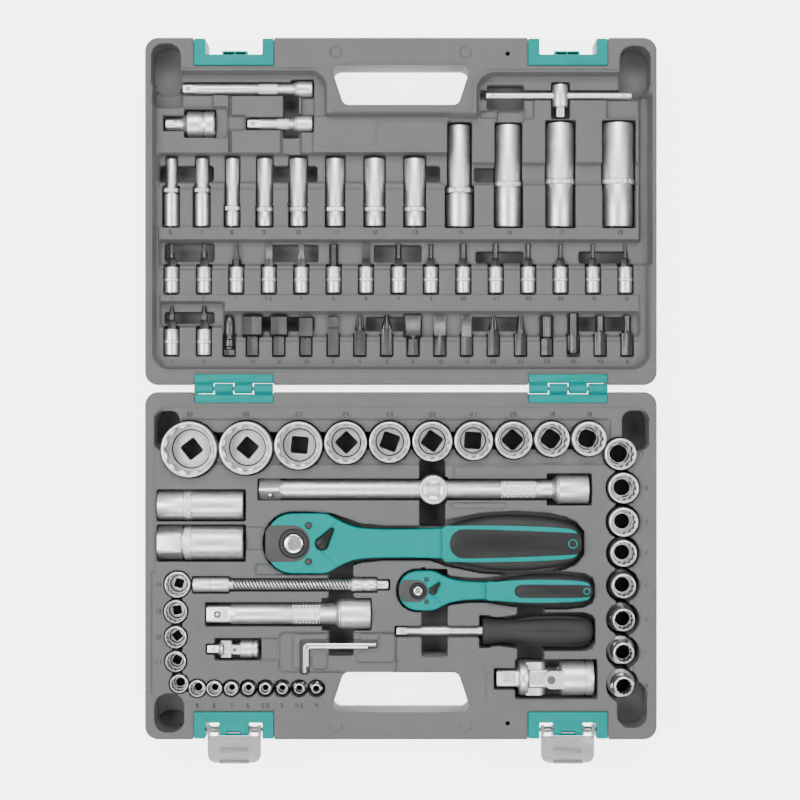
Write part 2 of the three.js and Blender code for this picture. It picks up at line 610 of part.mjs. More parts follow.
addDeepRun('deep_half_inch_sockets', deepHalf, [DEEP_HALF_BOTTOM, DEEP_HALF_TOP], HALF_DRIVE);

// T-bar: a rod that slides through a turned head with a quarter inch drive.
const TBAR_X = 121.3;
const TBAR_Y = 223;
const TBAR_Z = LID_TOP - 6.15;
const TBAR_ROD = [64.8, 175.5];
const TBAR_SLIDE = 3; // how far the rod can slide in its pocket, each way
const tbarHead = joined([
  rod('y', 6.15, [214, 231.4], [TBAR_X, TBAR_Z]),
  block([TBAR_X - QUARTER_DRIVE / 2, TBAR_X + QUARTER_DRIVE / 2], [206.3, 215],
    [TBAR_Z - QUARTER_DRIVE / 2, TBAR_Z + QUARTER_DRIVE / 2]),
]);
const tbarBore = rod('x', 2.8 + GAP, [TBAR_X - 10, TBAR_X + 10], [TBAR_Y, TBAR_Z], SMALL_ROUND);
addPart('tbar_head', tbarHead.subtract(tbarBore), 'satin');
addPart('tbar_rod', rod('x', 2.8, TBAR_ROD, [TBAR_Y, TBAR_Z], SMALL_ROUND), 'satin');
boxPocket(lidPockets, [TBAR_ROD[0] - TBAR_SLIDE - POCKET_GAP, TBAR_ROD[1] + TBAR_SLIDE + POCKET_GAP],
  [TBAR_Y - 2.8 - POCKET_GAP, TBAR_Y + 2.8 + POCKET_GAP], TBAR_Z - 2.8 - POCKET_GAP);
boxPocket(lidPockets, [TBAR_X - 6.15 - POCKET_GAP, TBAR_X + 6.15 + POCKET_GAP],
  [206.3 - POCKET_GAP, 231.4 + POCKET_GAP], TBAR_Z - 6.15 - POCKET_GAP);

// Finger room: deeper places between and beyond the tools, and in the corners of each tray, as [Xs, Ys, floor].
const baseFingerRoom = [
  [[13.7, 33.6], [-103, -54], 12], // across the 250 mm extension
  [[15.4, 35.4], [-202, -136], 16], // across the small ratchet's neck
  [[87.6, 108.3], [-208, -162], 16], // across the spinner handle
  [[-54.7, -35.8], [-202, -130], 14], // across the large ratchet's neck and the 125 mm extension
  [[-109, -93], [-205, -188.5], 30], // beyond the small universal joint
  [[-162, -144], [-156.5, -139.5], 31], // about the flexible extension's socket end
  [[-186.3, -167], [-46.8, -16.8], 12],
  [[166.7, 187.2], [-47.2, -16.5], 12],
  [[-186, -163.4], [-259.5, -230], 20],
  [[163, 185.6], [-255.9, -221], 20],
];
const lidFingerRoom = [
  [[-90, -62], [195, 234], 20], // beyond the 100 mm and 50 mm extensions
  [[64, 90], [209, 231], 20], // under the T-bar's rod
  [[-188, -164], [222, 259.5], 20],
  [[164, 188], [222, 259.5], 20],
];
for (const [xs, ys, floor] of baseFingerRoom) boxPocket(basePockets, xs, ys, floor);
for (const [xs, ys, floor] of lidFingerRoom) boxPocket(lidPockets, xs, ys, floor);

// Shells. Each is modelled on the lid's side, at +Y, and the base's cuts are mirrored to -Y by their numbers.
function side(sign, near, far) {
  return sign > 0 ? [near, far] : [-far, -near];
}

function shell(sign, pockets) {
  const xs = [-CASE_WIDTH / 2, CASE_WIDTH / 2];
  const outline = roundedOutline(xs, side(sign, SHELL_NEAR, SHELL_FAR), CORNER_RADIUS);
  const outer = plate(outline, [0, SHELL_HEIGHT]);
  const handle = roundedOutline([-HANDLE_HALF_WIDTH, HANDLE_HALF_WIDTH], side(sign, HANDLE_NEAR, HANDLE_FAR),
    HANDLE_RADIUS);
  const hollowXs = [xs[0] + WALL, xs[1] - WALL];
  const hollow = block(hollowXs, side(sign, SHELL_NEAR + WALL, SHELL_FAR - WALL), [WALL, SHELL_HEIGHT - WALL]);

  const openings = [(grow) => block([-HANDLE_HALF_WIDTH - grow, HANDLE_HALF_WIDTH + grow],
    side(sign, HANDLE_NEAR - grow, HANDLE_FAR + grow), [-1, ABOVE])];
  for (const centre of [-HINGE_CENTRE, HINGE_CENTRE]) {
    const half = HINGE_WIDTH / 2 + GAP;
    openings.push((grow) => block([centre - half - grow, centre + half + grow],
      side(sign, 0, LEAF_FAR + GAP + grow), [SHELL_HEIGHT - LEAF_DEPTH - GAP - grow, ABOVE]));
  }
  for (const centre of [-LATCH_CENTRE, LATCH_CENTRE]) {
    const half = LATCH_WIDTH / 2 + GAP;
    const width = (grow) => [centre - half - grow, centre + half + grow];
    const strip = side(sign, LATCH_NEAR - GAP, SHELL_FAR + 9);
    const open = side(sign, LATCH_NEAR + LATCH_STRIP, SHELL_FAR + 9);
    const grown = ([y0, y1], grow) => [y0 - grow, y1 + grow];
    openings.push((grow) => block(width(grow), grown(strip, grow), [LATCH_FLOOR - GAP - grow, ABOVE]));
    openings.push((grow) => block(width(grow), grown(open, grow), [-1, ABOVE]));
  }
  const corners = [-1, 1].map((end) => (grow) => {
    const cut = CORNER_RADIUS / 2 + grow;
    const x = end * CASE_WIDTH / 2;
    return block([x - cut, x + cut], side(sign, SHELL_FAR - cut, SHELL_FAR + cut), [-1, ABOVE]);
  });
  const rear = [-1, 1].map((end) => (grow) => {
    const cut = CORNER_RADIUS / 2 + grow;
    const x = end * CASE_WIDTH / 2;
    return block([x - cut, x + cut], side(sign, SHELL_NEAR - cut, SHELL_NEAR + cut), [-1, ABOVE]);
  });

  const keepOut = [...pockets, ...openings, ...corners, ...rear].map((cut) => cut(WALL));
  const cavity = cutBy(hollow, keepOut);
  const vent = rod('z', VENT_RADIUS, [WALL + 1, ABOVE], [VENT_X, sign * VENT_Y], SMALL_ROUND);
  const handleCut = plate(handle, [-1, ABOVE]);
  const cuts = [...pockets, ...openings.slice(1)].map((cut) => cut(0));
  return cutBy(outer, [handleCut, ...cuts, cavity, vent]);
}

// The lid's tray is sunk below its rim, except around the handle.
const TRAY_LEFT = -186;
const TRAY_RIGHT = 187;
const TRAY_REAR = 16;
const TRAY_FRONT = 243;
const TRAY_HANDLE = 196;
const lidTrays = [
  [[TRAY_LEFT, TRAY_RIGHT], [TRAY_REAR, TRAY_HANDLE]],
  [[TRAY_LEFT, -75], [TRAY_HANDLE - 1, TRAY_FRONT - 3]],
  [[78, TRAY_RIGHT], [TRAY_HANDLE - 1, TRAY_FRONT - 3]],
];
for (const [xs, ys] of lidTrays) boxPocket(lidPockets, xs, ys, LID_TRAY);

addPart('base_shell', shell(-1, basePockets), 'shell');
addPart('lid_shell', shell(1, lidPockets), 'shell');

// Hinges: interleaved knuckles on a pin, each leaf set in a notch of its shell.
const knuckleWidth = HINGE_WIDTH / 4;

function hingeLeaf(centre, sign, places) {
  const left = centre - HINGE_WIDTH / 2;
  const leaf = block([left, left + HINGE_WIDTH], side(sign, KNUCKLE_RADIUS + GAP, LEAF_FAR),
    [SHELL_HEIGHT - LEAF_DEPTH, SHELL_HEIGHT]);
  const knuckles = places.map((i) => {
    const xs = [left + i * knuckleWidth + GAP / 2, left + (i + 1) * knuckleWidth - GAP / 2];
    return rod('x', KNUCKLE_RADIUS, xs, [0, HINGE_AXIS_Z], ROUND)
      .add(block(xs, side(sign, 0, KNUCKLE_RADIUS + 1), [SHELL_HEIGHT - 3, SHELL_HEIGHT]));
  });
  const bore = rod('x', PIN_RADIUS + PIN_CLEARANCE, [left - 1, left + HINGE_WIDTH + 1], [0, HINGE_AXIS_Z],
    SMALL_ROUND);
  return joined([leaf, ...knuckles]).subtract(bore);
}

for (const [word, centre] of [['left', -HINGE_CENTRE], ['right', HINGE_CENTRE]]) {
  addPart(`hinge_${word}_base_leaf`, hingeLeaf(centre, -1, [1, 3]), 'teal');
  addPart(`hinge_${word}_lid_leaf`, hingeLeaf(centre, 1, [0, 2]), 'teal');
  const half = HINGE_WIDTH / 2 - 0.5;
  const pin = rod('x', PIN_RADIUS, [centre - half, centre + half], [0, HINGE_AXIS_Z], SMALL_ROUND);
  addPart(`hinge_${word}_pin`, pin, 'steel');
}

// Latches on the base front, and the catches that they hook on the lid front.
function latchFrame(centre, sign) {
  const left = centre - LATCH_WIDTH / 2;
  const right = centre + LATCH_WIDTH / 2;
  const heights = [LATCH_FLOOR, SHELL_HEIGHT];
  const arms = side(sign, LATCH_NEAR + 1, LATCH_FAR);
  return joined([
    block([left, right], side(sign, LATCH_NEAR, LATCH_NEAR + LATCH_STRIP), heights),
    block([left, left + ARM_WIDTH], arms, heights),
    block([right - ARM_WIDTH, right], arms, heights),
  ]);
}

for (const [word, centre] of [['left', -LATCH_CENTRE], ['right', LATCH_CENTRE]]) {
  const blockHalf = BLOCK_WIDTH / 2;
  const pinLine = [-LATCH_PIN_Y, LATCH_PIN_Z];
  const blockXs = [centre - blockHalf, centre + blockHalf];
  const pinBlock = rod('x', BLOCK_RADIUS, blockXs, pinLine)
    .add(block(blockXs, [-LATCH_PIN_Y, -LATCH_NEAR - 1], [LATCH_PIN_Z - BLOCK_RADIUS, SHELL_HEIGHT]));
  const bore = rod('x', PIN_RADIUS + PIN_CLEARANCE, [centre - blockHalf - 1, centre + blockHalf + 1], pinLine,
    SMALL_ROUND);
  addPart(`latch_${word}_bracket`, latchFrame(centre, -1).add(pinBlock).subtract(bore), 'teal');

  const pinHalf = LATCH_PIN_LENGTH / 2;
  const pin = rod('x', PIN_RADIUS, [centre - pinHalf, centre + pinHalf], pinLine, SMALL_ROUND);
  addPart(`latch_${word}_pin`, pin, 'steel');

  const half = FLAP_WIDTH / 2;
  const thick = [LATCH_PIN_Z - FLAP_THICKNESS / 2, LATCH_PIN_Z + FLAP_THICKNESS / 2];
  const web = roundedOutline([centre - half, centre + half],
    [-LATCH_PIN_Y - FLAP_REACH, -LATCH_PIN_Y - FLAP_START], 4);
  const lip = block([centre - blockHalf, centre + blockHalf],
    [-LATCH_PIN_Y - FLAP_REACH, -LATCH_PIN_Y - FLAP_REACH + FLAP_THICKNESS], [thick[0] + 0.5, thick[1] + FLAP_LIP]);
  const ears = [-1, 1].map((end) => {
    const xs = [blockHalf + GAP, half].map((x) => centre + end * x).sort((a, b) => a - b);
    return rod('x', EAR_RADIUS, xs, pinLine, SMALL_ROUND)
      .add(block(xs, [-LATCH_PIN_Y - FLAP_START - 5, -LATCH_PIN_Y], thick));
  });
  const earBore = rod('x', PIN_RADIUS + PIN_CLEARANCE, [centre - half - 1, centre + half + 1], pinLine,
    SMALL_ROUND);
  addPart(`latch_${word}_flap`, joined([plate(web, thick), lip, ...ears]).subtract(earBore), 'flap');

  const nub = block([centre - NUB_WIDTH / 2, centre + NUB_WIDTH / 2], [LATCH_NEAR + 1, NUB_FAR],
    [NUB_BOTTOM, NUB_TOP]);
  addPart(`catch_${word}`, latchFrame(centre, 1).add(nub), 'teal');
}

export default group;
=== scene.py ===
"""Looks of the socket wrench set in its carrying case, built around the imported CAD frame.

Lengths are in millimetres inside this file and become metres where a mesh is made. "Case coordinates" count X
from the middle of the case, Y from the hinge line (the base at -Y, the lid at +Y) and Z from the floor.
"""

import json
import math

import bmesh
import bpy
import numpy as np
from mathutils import Matrix, Vector
from mathutils.geometry import delaunay_2d_cdt


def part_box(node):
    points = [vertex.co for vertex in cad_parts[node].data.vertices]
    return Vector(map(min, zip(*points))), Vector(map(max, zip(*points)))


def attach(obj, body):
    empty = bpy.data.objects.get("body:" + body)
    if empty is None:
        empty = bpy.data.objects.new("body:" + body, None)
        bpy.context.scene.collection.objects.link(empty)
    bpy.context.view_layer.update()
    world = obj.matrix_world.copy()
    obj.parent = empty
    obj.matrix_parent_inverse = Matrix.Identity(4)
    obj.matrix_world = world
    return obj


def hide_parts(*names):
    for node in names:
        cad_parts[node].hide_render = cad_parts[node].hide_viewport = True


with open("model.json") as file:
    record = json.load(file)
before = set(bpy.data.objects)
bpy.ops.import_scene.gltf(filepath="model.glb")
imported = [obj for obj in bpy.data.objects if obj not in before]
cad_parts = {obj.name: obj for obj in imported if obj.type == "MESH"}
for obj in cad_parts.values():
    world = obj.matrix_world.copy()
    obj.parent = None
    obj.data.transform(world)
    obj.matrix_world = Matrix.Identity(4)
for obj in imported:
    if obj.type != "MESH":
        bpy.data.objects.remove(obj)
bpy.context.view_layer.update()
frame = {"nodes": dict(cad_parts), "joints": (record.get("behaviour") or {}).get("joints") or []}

MM = 0.001
HINGE = {joint["name"]: joint for joint in frame["joints"]}["lid_hinge"]
HINGE_Y = HINGE["pos_m"][1] / MM
RIM_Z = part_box("base_shell")[1][2] / MM
HARDWARE_X = 126  # the hinges and latches stand this far from the middle
HALF_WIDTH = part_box("base_shell")[1][0] / MM
SHELL_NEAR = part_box("lid_shell")[0][1] / MM - HINGE_Y
SHELL_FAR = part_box("lid_shell")[1][1] / MM - HINGE_Y

# ---------------------------------------------------------------- materials

NOISE_LOW, NOISE_HIGH = 0.3, 0.7  # the part of a noise's range that it mostly stays in


def principled(name, color, roughness, metallic=0.0, **sockets):
    """A material whose constant values sit on the shader's own sockets."""
    made = bpy.data.materials.new(name)
    made.use_nodes = True
    shader = made.node_tree.nodes["Principled BSDF"]
    shader.inputs["Base Color"].default_value = (*color, 1.0)
    shader.inputs["Roughness"].default_value = roughness
    shader.inputs["Metallic"].default_value = metallic
    for socket, value in sockets.items():
        shader.inputs[socket.replace("_", " ")].default_value = value
    return made, shader


def noise(tree, scale, detail=3.0, stretch=(1.0, 1.0, 1.0)):
    """Noise in object coordinates, with scale in waves per metre."""
    place = tree.nodes.new("ShaderNodeTexCoord")
    mapping = tree.nodes.new("ShaderNodeMapping")
    mapping.inputs["Scale"].default_value = stretch
    texture = tree.nodes.new("ShaderNodeTexNoise")
    texture.inputs["Scale"].default_value = scale
    texture.inputs["Detail"].default_value = detail
    tree.links.new(place.outputs["Object"], mapping.inputs["Vector"])
    tree.links.new(mapping.outputs["Vector"], texture.inputs["Vector"])
    return texture.outputs["Fac"]


def mapped(tree, value, low, high):
    """Noise, spread out to run from low to high."""
    node = tree.nodes.new("ShaderNodeMapRange")
    node.inputs["From Min"].default_value = NOISE_LOW
    node.inputs["From Max"].default_value = NOISE_HIGH
    node.inputs["To Min"].default_value = low
    node.inputs["To Max"].default_value = high
    tree.links.new(value, node.inputs["Value"])
    return node.outputs["Result"]


def blended(tree, factor, dark, light):
    ramp = tree.nodes.new("ShaderNodeValToRGB")
    ramp.color_ramp.elements[0].position = NOISE_LOW
    ramp.color_ramp.elements[1].position = NOISE_HIGH
    ramp.color_ramp.elements[0].color = (*dark, 1.0)
    ramp.color_ramp.elements[1].color = (*light, 1.0)
    tree.links.new(factor, ramp.inputs["Fac"])
    return ramp.outputs["Color"]


def bumped(tree, shader, height, strength, distance):
    bump = tree.nodes.new("ShaderNodeBump")
    bump.inputs["Strength"].default_value = strength
    bump.inputs["Distance"].default_value = distance
    tree.links.new(height, bump.inputs["Height"])
    tree.links.new(bump.outputs["Normal"], shader.inputs["Normal"])


def grained(name, color, roughness, spread=0.12, grain=2600, bump=0.25, **sockets):
    """Moulded plastic or rubber: a little colour drift, a fine grain and uneven gloss."""
    made, shader = principled(name, color, roughness, **sockets)
    tree = made.node_tree
    drift = noise(tree, 60, 4.0)
    dark = tuple(c * (1 - spread) for c in color)
    light = tuple(c * (1 + spread) for c in color)
    tree.links.new(blended(tree, drift, dark, light), shader.inputs["Base Color"])
    gloss = mapped(tree, noise(tree, 35, 5.0), roughness - 0.06, roughness + 0.08)
    tree.links.new(gloss, shader.inputs["Roughness"])
    bumped(tree, shader, noise(tree, grain, 2.0), bump, 0.0002)
    return made


def satin_metal(name, color, roughness, spread=0.06, grain=5200, bump=0.12, stretch=(1.0, 1.0, 1.0)):
    """Blasted and plated steel: bright, with a fine pearl grain and a slight cloudiness."""
    made, shader = principled(name, color, roughness, 1.0)
    tree = made.node_tree
    cloud = noise(tree, 110, 5.0, stretch)
    dark = tuple(c * (1 - spread) for c in color)
    light = tuple(min(1.0, c * (1 + spread)) for c in color)
    tree.links.new(blended(tree, cloud, dark, light), shader.inputs["Base Color"])
    gloss = mapped(tree, noise(tree, 180, 6.0, stretch), roughness - 0.05, roughness + 0.07)
    tree.links.new(gloss, shader.inputs["Roughness"])
    bumped(tree, shader, noise(tree, grain, 2.0, stretch), bump, 0.0001)
    return made


CASE = grained("case_plastic", (0.105, 0.106, 0.106), 0.62, 0.04, 2200, 0.3, Specular_IOR_Level=0.25)
TEAL = grained("teal_plastic", (0.0, 0.21, 0.195), 0.4, 0.05, 1500, 0.12, Specular_IOR_Level=0.08)
TEAL_PAINT = grained("teal_paint", (0.0, 0.215, 0.2), 0.45, 0.04, 2600, 0.1, Specular_IOR_Level=0.06)
RUBBER = grained("grip_rubber", (0.018, 0.0185, 0.019), 0.62, 0.15, 3000, 0.4, Specular_IOR_Level=0.35)
INLAY = grained("grip_inlay", (0.007, 0.0075, 0.008), 0.45, 0.1, 3000, 0.15, Specular_IOR_Level=0.3)
# Black plastic for the direction levers; the same black also serves as painted shade in the sockets'
# crevices, under the ratchet levers and in the flexible extension's core.
DARK = grained("dark_plastic", (0.006, 0.006, 0.0062), 0.36, 0.15, 2600, 0.2, Specular_IOR_Level=0.25)
WHEEL = grained("blackened_steel", (0.024, 0.024, 0.0245), 0.45, 0.1, 3600, 0.15, Specular_IOR_Level=0.3)
PLATE = grained("head_plate", (0.043, 0.043, 0.044), 0.5, 0.06, 3600, 0.15, Specular_IOR_Level=0.35)
CHROME = satin_metal("satin_chrome", (0.76, 0.76, 0.75), 0.4)
POLISHED = satin_metal("button_chrome", (0.83, 0.83, 0.82), 0.22, 0.03, 5200, 0.05)
STEEL = satin_metal("dark_steel", (0.16, 0.16, 0.158), 0.38)
BIT = satin_metal("bit_steel", (0.095, 0.093, 0.089), 0.38, 0.12)
# The numbers are moulded in the case's own plastic; their darker colour is painted shade standing in for the
# shadows along the raised strokes.
NUMBER_SHADE = grained("number_painted_shade", (0.036, 0.036, 0.037), 0.6, 0.05, 2200, 0.2, Specular_IOR_Level=0.2)
BORE = satin_metal("broached_steel", (0.36, 0.355, 0.35), 0.4)
SPRING = satin_metal("spring_steel", (0.45, 0.45, 0.44), 0.3)


def translucent(name, color, roughness):
    """Smoky clear plastic of the latch flaps."""
    made = grained(name, color, roughness, 0.05, 900, 0.06)
    shader = made.node_tree.nodes["Principled BSDF"]
    shader.inputs["Alpha"].default_value = 0.78
    shader.inputs["Coat Weight"].default_value = 0.5
    return made


FLAP = translucent("clear_plastic", (0.23, 0.233, 0.233), 0.28)

# ---------------------------------------------------------------- mesh helpers


def to_frame(x, y, z):
    """Case coordinates in millimetres to frame coordinates in metres."""
    return Vector((x * MM, (y + HINGE_Y) * MM, z * MM))


def placed(x=0.0, y=0.0, z=0.0, turn=0.0, along="z"):
    """The matrix that takes a tool's own millimetres to the frame. along says where its own Z points."""
    lean = {
        "z": Matrix.Identity(4),
        "x": Matrix.Rotation(math.pi / 2, 4, "Y"),
        "y": Matrix.Rotation(-math.pi / 2, 4, "X"),
    }[along]
    move = Matrix.Translation(to_frame(x, y, z))
    return move @ Matrix.Scale(MM, 4) @ lean @ Matrix.Rotation(turn, 4, "Z")


def finish_piece(name, mesh, body, materials, replaces, sharp):
    """Links a mesh as a piece, shades it, and says what it rides on and stands for."""
    if not isinstance(materials, (list, tuple)):
        materials = [materials]
    for entry in materials:
        mesh.materials.append(entry)
    mesh.shade_smooth()
    mesh.set_sharp_from_angle(angle=math.radians(sharp))
    piece = bpy.data.objects.new(name, mesh)
    bpy.context.collection.objects.link(piece)
    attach(piece, body)
    if replaces:
        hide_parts(*replaces)


class Shape:
    """Collects vertices and faces of one piece, in a tool's own millimetres."""

    def __init__(self):
        self.points = []
        self.faces = []
        self.marks = []

    def add(self, points, faces, mark=0, matrix=None):
        start = len(self.points)
        if matrix is not None:
            points = [matrix @ Vector(p) for p in points]
        self.points += [tuple(p) for p in points]
        self.faces += [tuple(start + i for i in face) for face in faces]
        self.marks += [mark] * len(faces)
        return self

    def join(self, other, matrix=None, mark=None):
        start = len(self.points)
        points = other.points if matrix is None else [matrix @ Vector(p) for p in other.points]
        self.points += [tuple(p) for p in points]
        self.faces += [tuple(start + i for i in face) for face in other.faces]
        self.marks += other.marks if mark is None else [mark] * len(other.faces)
        return self

    def mesh(self, name, matrix):
        made = bpy.data.meshes.new(name)
        made.from_pydata([matrix @ Vector(p) for p in self.points], [], self.faces)
        made.polygons.foreach_set("material_index", self.marks)
        made.validate()
        return made


def show(name, shape, matrix, body, materials, replaces=(), sharp=32):
    """A piece from a shape and the matrix that takes its own millimetres to the frame."""
    finish_piece(name, shape.mesh(name, matrix), body, materials, replaces, sharp)


def ring(radius, height, sides):
    """One loop of a loft. radius is a number or a function of the angle."""
    points = []
    for i in range(sides):
        angle = 2 * math.pi * i / sides
        r = radius(angle) if callable(radius) else radius
        points.append((r * math.cos(angle), r * math.sin(angle), height))
    return points


def loft(steps, sides=48, through=False, mark=0):
    """A closed body from loops (radius, height). Its ends are capped, or joined where a hole goes through."""
    points = []
    faces = []
    for radius, height in steps:
        points += ring(radius, height, sides)
    count = len(steps)
    bands = count if through else count - 1
    for j in range(bands):
        a = j * sides
        b = ((j + 1) % count) * sides
        for i in range(sides):
            k = (i + 1) % sides
            faces.append((a + i, a + k, b + k, b + i))
    if not through:
        faces.append(tuple(reversed(range(sides))))
        faces.append(tuple((count - 1) * sides + i for i in range(sides)))
    return Shape().add(points, faces, mark)


def hexagonal(apothem, turn=0.0):
    def radius(angle):
        within = (angle + turn) % (math.pi / 3) - math.pi / 6
        return apothem / math.cos(within)
    return radius


def twelve_point(apothem):
    one = hexagonal(apothem)
    other = hexagonal(apothem, math.pi / 6)
    return lambda angle: max(one(angle), other(angle))


def squared(half, turn=0.0, corner=1.0):
    """A square outline whose corners are cut at corner times the half diagonal."""
    limit = half * math.sqrt(2) * corner

    def radius(angle):
        c = abs(math.cos(angle + turn))
        s = abs(math.sin(angle + turn))
        return min(half / max(c, s), limit)
    return radius


def knurl(radius, low, high, depth, teeth, rows):
    """Loops of a diamond knurl between two heights."""
    pitch = (high - low) / rows
    steps = []
    count = rows * 4
    for j in range(count + 1):
        height = low + (high - low) * j / count
        phase = math.pi * 2 * (height - low) / pitch / 2

        def wavy(angle, phase=phase):
            one = math.cos(teeth * angle + phase)
            two = math.cos(teeth * angle - phase)
            return radius + depth * (one + two) / 2
        steps.append((wavy, height))
    return steps

# ---------------------------------------------------------------- moulded shells
#
# Each shell is one closed skin. Its inside face is a fine grid whose height drops into every pocket, with the
# points near a pocket's outline drawn onto that outline.

GRID = 1.06  # the spacing of the inside face's points
WALL_LEAN = 0.3  # a pocket wall's foot stands this far inside its top edge
NO_POCKET = 1e3  # the floor height where there is none
INSIDE = -0.02  # a point counts as inside a pocket from this distance
EDGE_ROUND = 1.1  # how far a pocket's rounded lip reaches out over the tray
OUTLINE_CORNER = 10.0
SIDE_DRAFT = 1.2
BOTTOM_ROUND = 5.0


def box_distance(x, y, spec):
    x0, x1, y0, y1, corner = spec
    qx = np.abs(x - (x0 + x1) / 2) - (x1 - x0) / 2 + corner
    qy = np.abs(y - (y0 + y1) / 2) - (y1 - y0) / 2 + corner
    outside = np.hypot(np.maximum(qx, 0), np.maximum(qy, 0))
    return outside + np.minimum(np.maximum(qx, qy), 0) - corner


def disc_distance(x, y, spec):
    cx, cy, radius = spec
    return np.hypot(x - cx, y - cy) - radius


def path_distance(x, y, spec):
    """Distance to a bar of varying half width along X: (y, [(x, half width), ...])."""
    middle, stations = spec
    xs = np.array([s[0] for s in stations])
    halves = np.array([s[1] for s in stations])
    half = np.interp(x, xs, halves)
    slope = np.interp(x, (xs[1:] + xs[:-1]) / 2, np.diff(halves) / np.diff(xs))
    across = (np.abs(y - middle) - half) / np.sqrt(1 + slope ** 2)
    return np.maximum(across, np.maximum(xs[0] - x, x - xs[-1]))


def polygon_distance(x, y, spec):
    """Signed distance to a convex outline with rounded corners: (corner radius, points counter-clockwise)."""
    corner, outline = spec
    nearest = np.full(x.shape, 1e9)
    inside = np.full(x.shape, -1e9)
    for (ax, ay), (bx, by) in zip(outline, outline[1:] + outline[:1]):
        ex, ey = bx - ax, by - ay
        length = math.hypot(ex, ey)
        along = np.clip(((x - ax) * ex + (y - ay) * ey) / length ** 2, 0, 1)
        nearest = np.minimum(nearest, np.hypot(x - ax - along * ex, y - ay - along * ey))
        inside = np.maximum(inside, ((x - ax) * ey - (y - ay) * ex) / length)
    return np.where(inside < 0, inside, nearest) - corner


DISTANCE = {"box": box_distance, "disc": disc_distance, "path": path_distance, "outline": polygon_distance}


class Tray:
    """The features of one shell's inside face, in case coordinates."""

    def __init__(self, sign, surface):
        self.sign = sign
        self.surface = surface
        self.features = []
        self.holes = []
        self.levels = []

    def pocket(self, floor, *shapes):
        """A hollow whose outline is the union of shapes, each (kind, spec)."""
        self.features.append((floor, shapes))

    def level(self, height, soft, *shapes):
        """A raised or sunken area with a soft step of that width."""
        self.levels.append((height, soft, shapes))

    def hole(self, *shapes):
        self.holes.append(shapes)


def union_distance(x, y, shapes):
    return np.minimum.reduce([DISTANCE[kind](x, y, spec) for kind, spec in shapes])


def smooth_step(value):
    value = np.clip(value, 0.0, 1.0)
    return value * value * (3 - 2 * value)


def snapped(x, y, distance_of, reach):
    """Moves points nearer than reach to a contour onto it."""
    step = 0.05
    distance = distance_of(x, y)
    near = np.abs(distance) < reach
    px, py, d = x[near], y[near], distance[near]
    gx = (distance_of(px + step, py) - distance_of(px - step, py)) / (2 * step)
    gy = (distance_of(px, py + step) - distance_of(px, py - step)) / (2 * step)
    size = np.maximum(gx * gx + gy * gy, 0.25)
    x[near] = px - d * gx / size
    y[near] = py - d * gy / size


def outline_shape(tray):
    near, far = SHELL_NEAR, SHELL_FAR
    y0, y1 = (near, far) if tray.sign > 0 else (-far, -near)
    return ("box", (-HALF_WIDTH, HALF_WIDTH, y0, y1, OUTLINE_CORNER))


def solid_distance(tray, x, y):
    """Negative inside the shell's plan, positive outside it or in a hole."""
    distance = DISTANCE["box"](x, y, outline_shape(tray)[1])
    for shapes in tray.holes:
        distance = np.maximum(distance, -union_distance(x, y, shapes))
    return distance


def tray_height(tray, x, y):
    """Heights of the inside face. Points close to a pocket's outline are moved onto it first."""
    top = np.full(x.shape, RIM_Z)
    for height, soft, shapes in tray.levels:
        inside = smooth_step(0.5 - union_distance(x, y, shapes) / soft)
        top = top + (height - top) * inside
    owner = np.full(x.shape, -1)
    floor = np.full(x.shape, NO_POCKET)
    for number, (low, shapes) in enumerate(tray.features):
        inside = union_distance(x, y, shapes) < 0
        lower = inside & (low < floor)
        floor[lower] = low
        owner[lower] = number
    moved = np.zeros(x.shape, bool)
    for number, (low, shapes) in enumerate(tray.features):
        free = (floor > low) | (owner == number)
        candidates = free & ~moved & (np.abs(union_distance(x, y, shapes)) < GRID * 0.52)
        if not candidates.any():
            continue
        px, py = x[candidates], y[candidates]
        snapped(px, py, lambda a, b, s=shapes: union_distance(a, b, s), GRID * 0.55)
        x[candidates], y[candidates] = px, py
        moved |= candidates
    # The first row of points inside a pocket is drawn close to its outline, so that its walls stand steep.
    for number, (low, shapes) in enumerate(tray.features):
        free = (floor > low) | (owner == number)
        distance = union_distance(x, y, shapes)
        candidates = free & ~moved & (distance < INSIDE) & (distance > -1.52 * GRID)
        if not candidates.any():
            continue
        px, py = x[candidates], y[candidates]
        snapped(px, py, lambda a, b, s=shapes: union_distance(a, b, s) + WALL_LEAN, 1e3)
        settled = np.abs(union_distance(px, py, shapes) + WALL_LEAN) < 0.12
        x[candidates] = np.where(settled, px, x[candidates])
        y[candidates] = np.where(settled, py, y[candidates])
        moved |= candidates
    floor = np.full(x.shape, NO_POCKET)
    lip = np.zeros(x.shape)
    for low, shapes in tray.features:
        distance = union_distance(x, y, shapes)
        inside = distance < INSIDE
        floor = np.where(inside & (low < floor), low, floor)
        reach = np.clip(1 - distance / EDGE_ROUND, 0, 1)
        drop = 0.55 * reach * reach * EDGE_ROUND
        lip = np.where(~inside & (low < top), np.maximum(lip, drop), lip)
    return np.minimum(top - lip, floor)


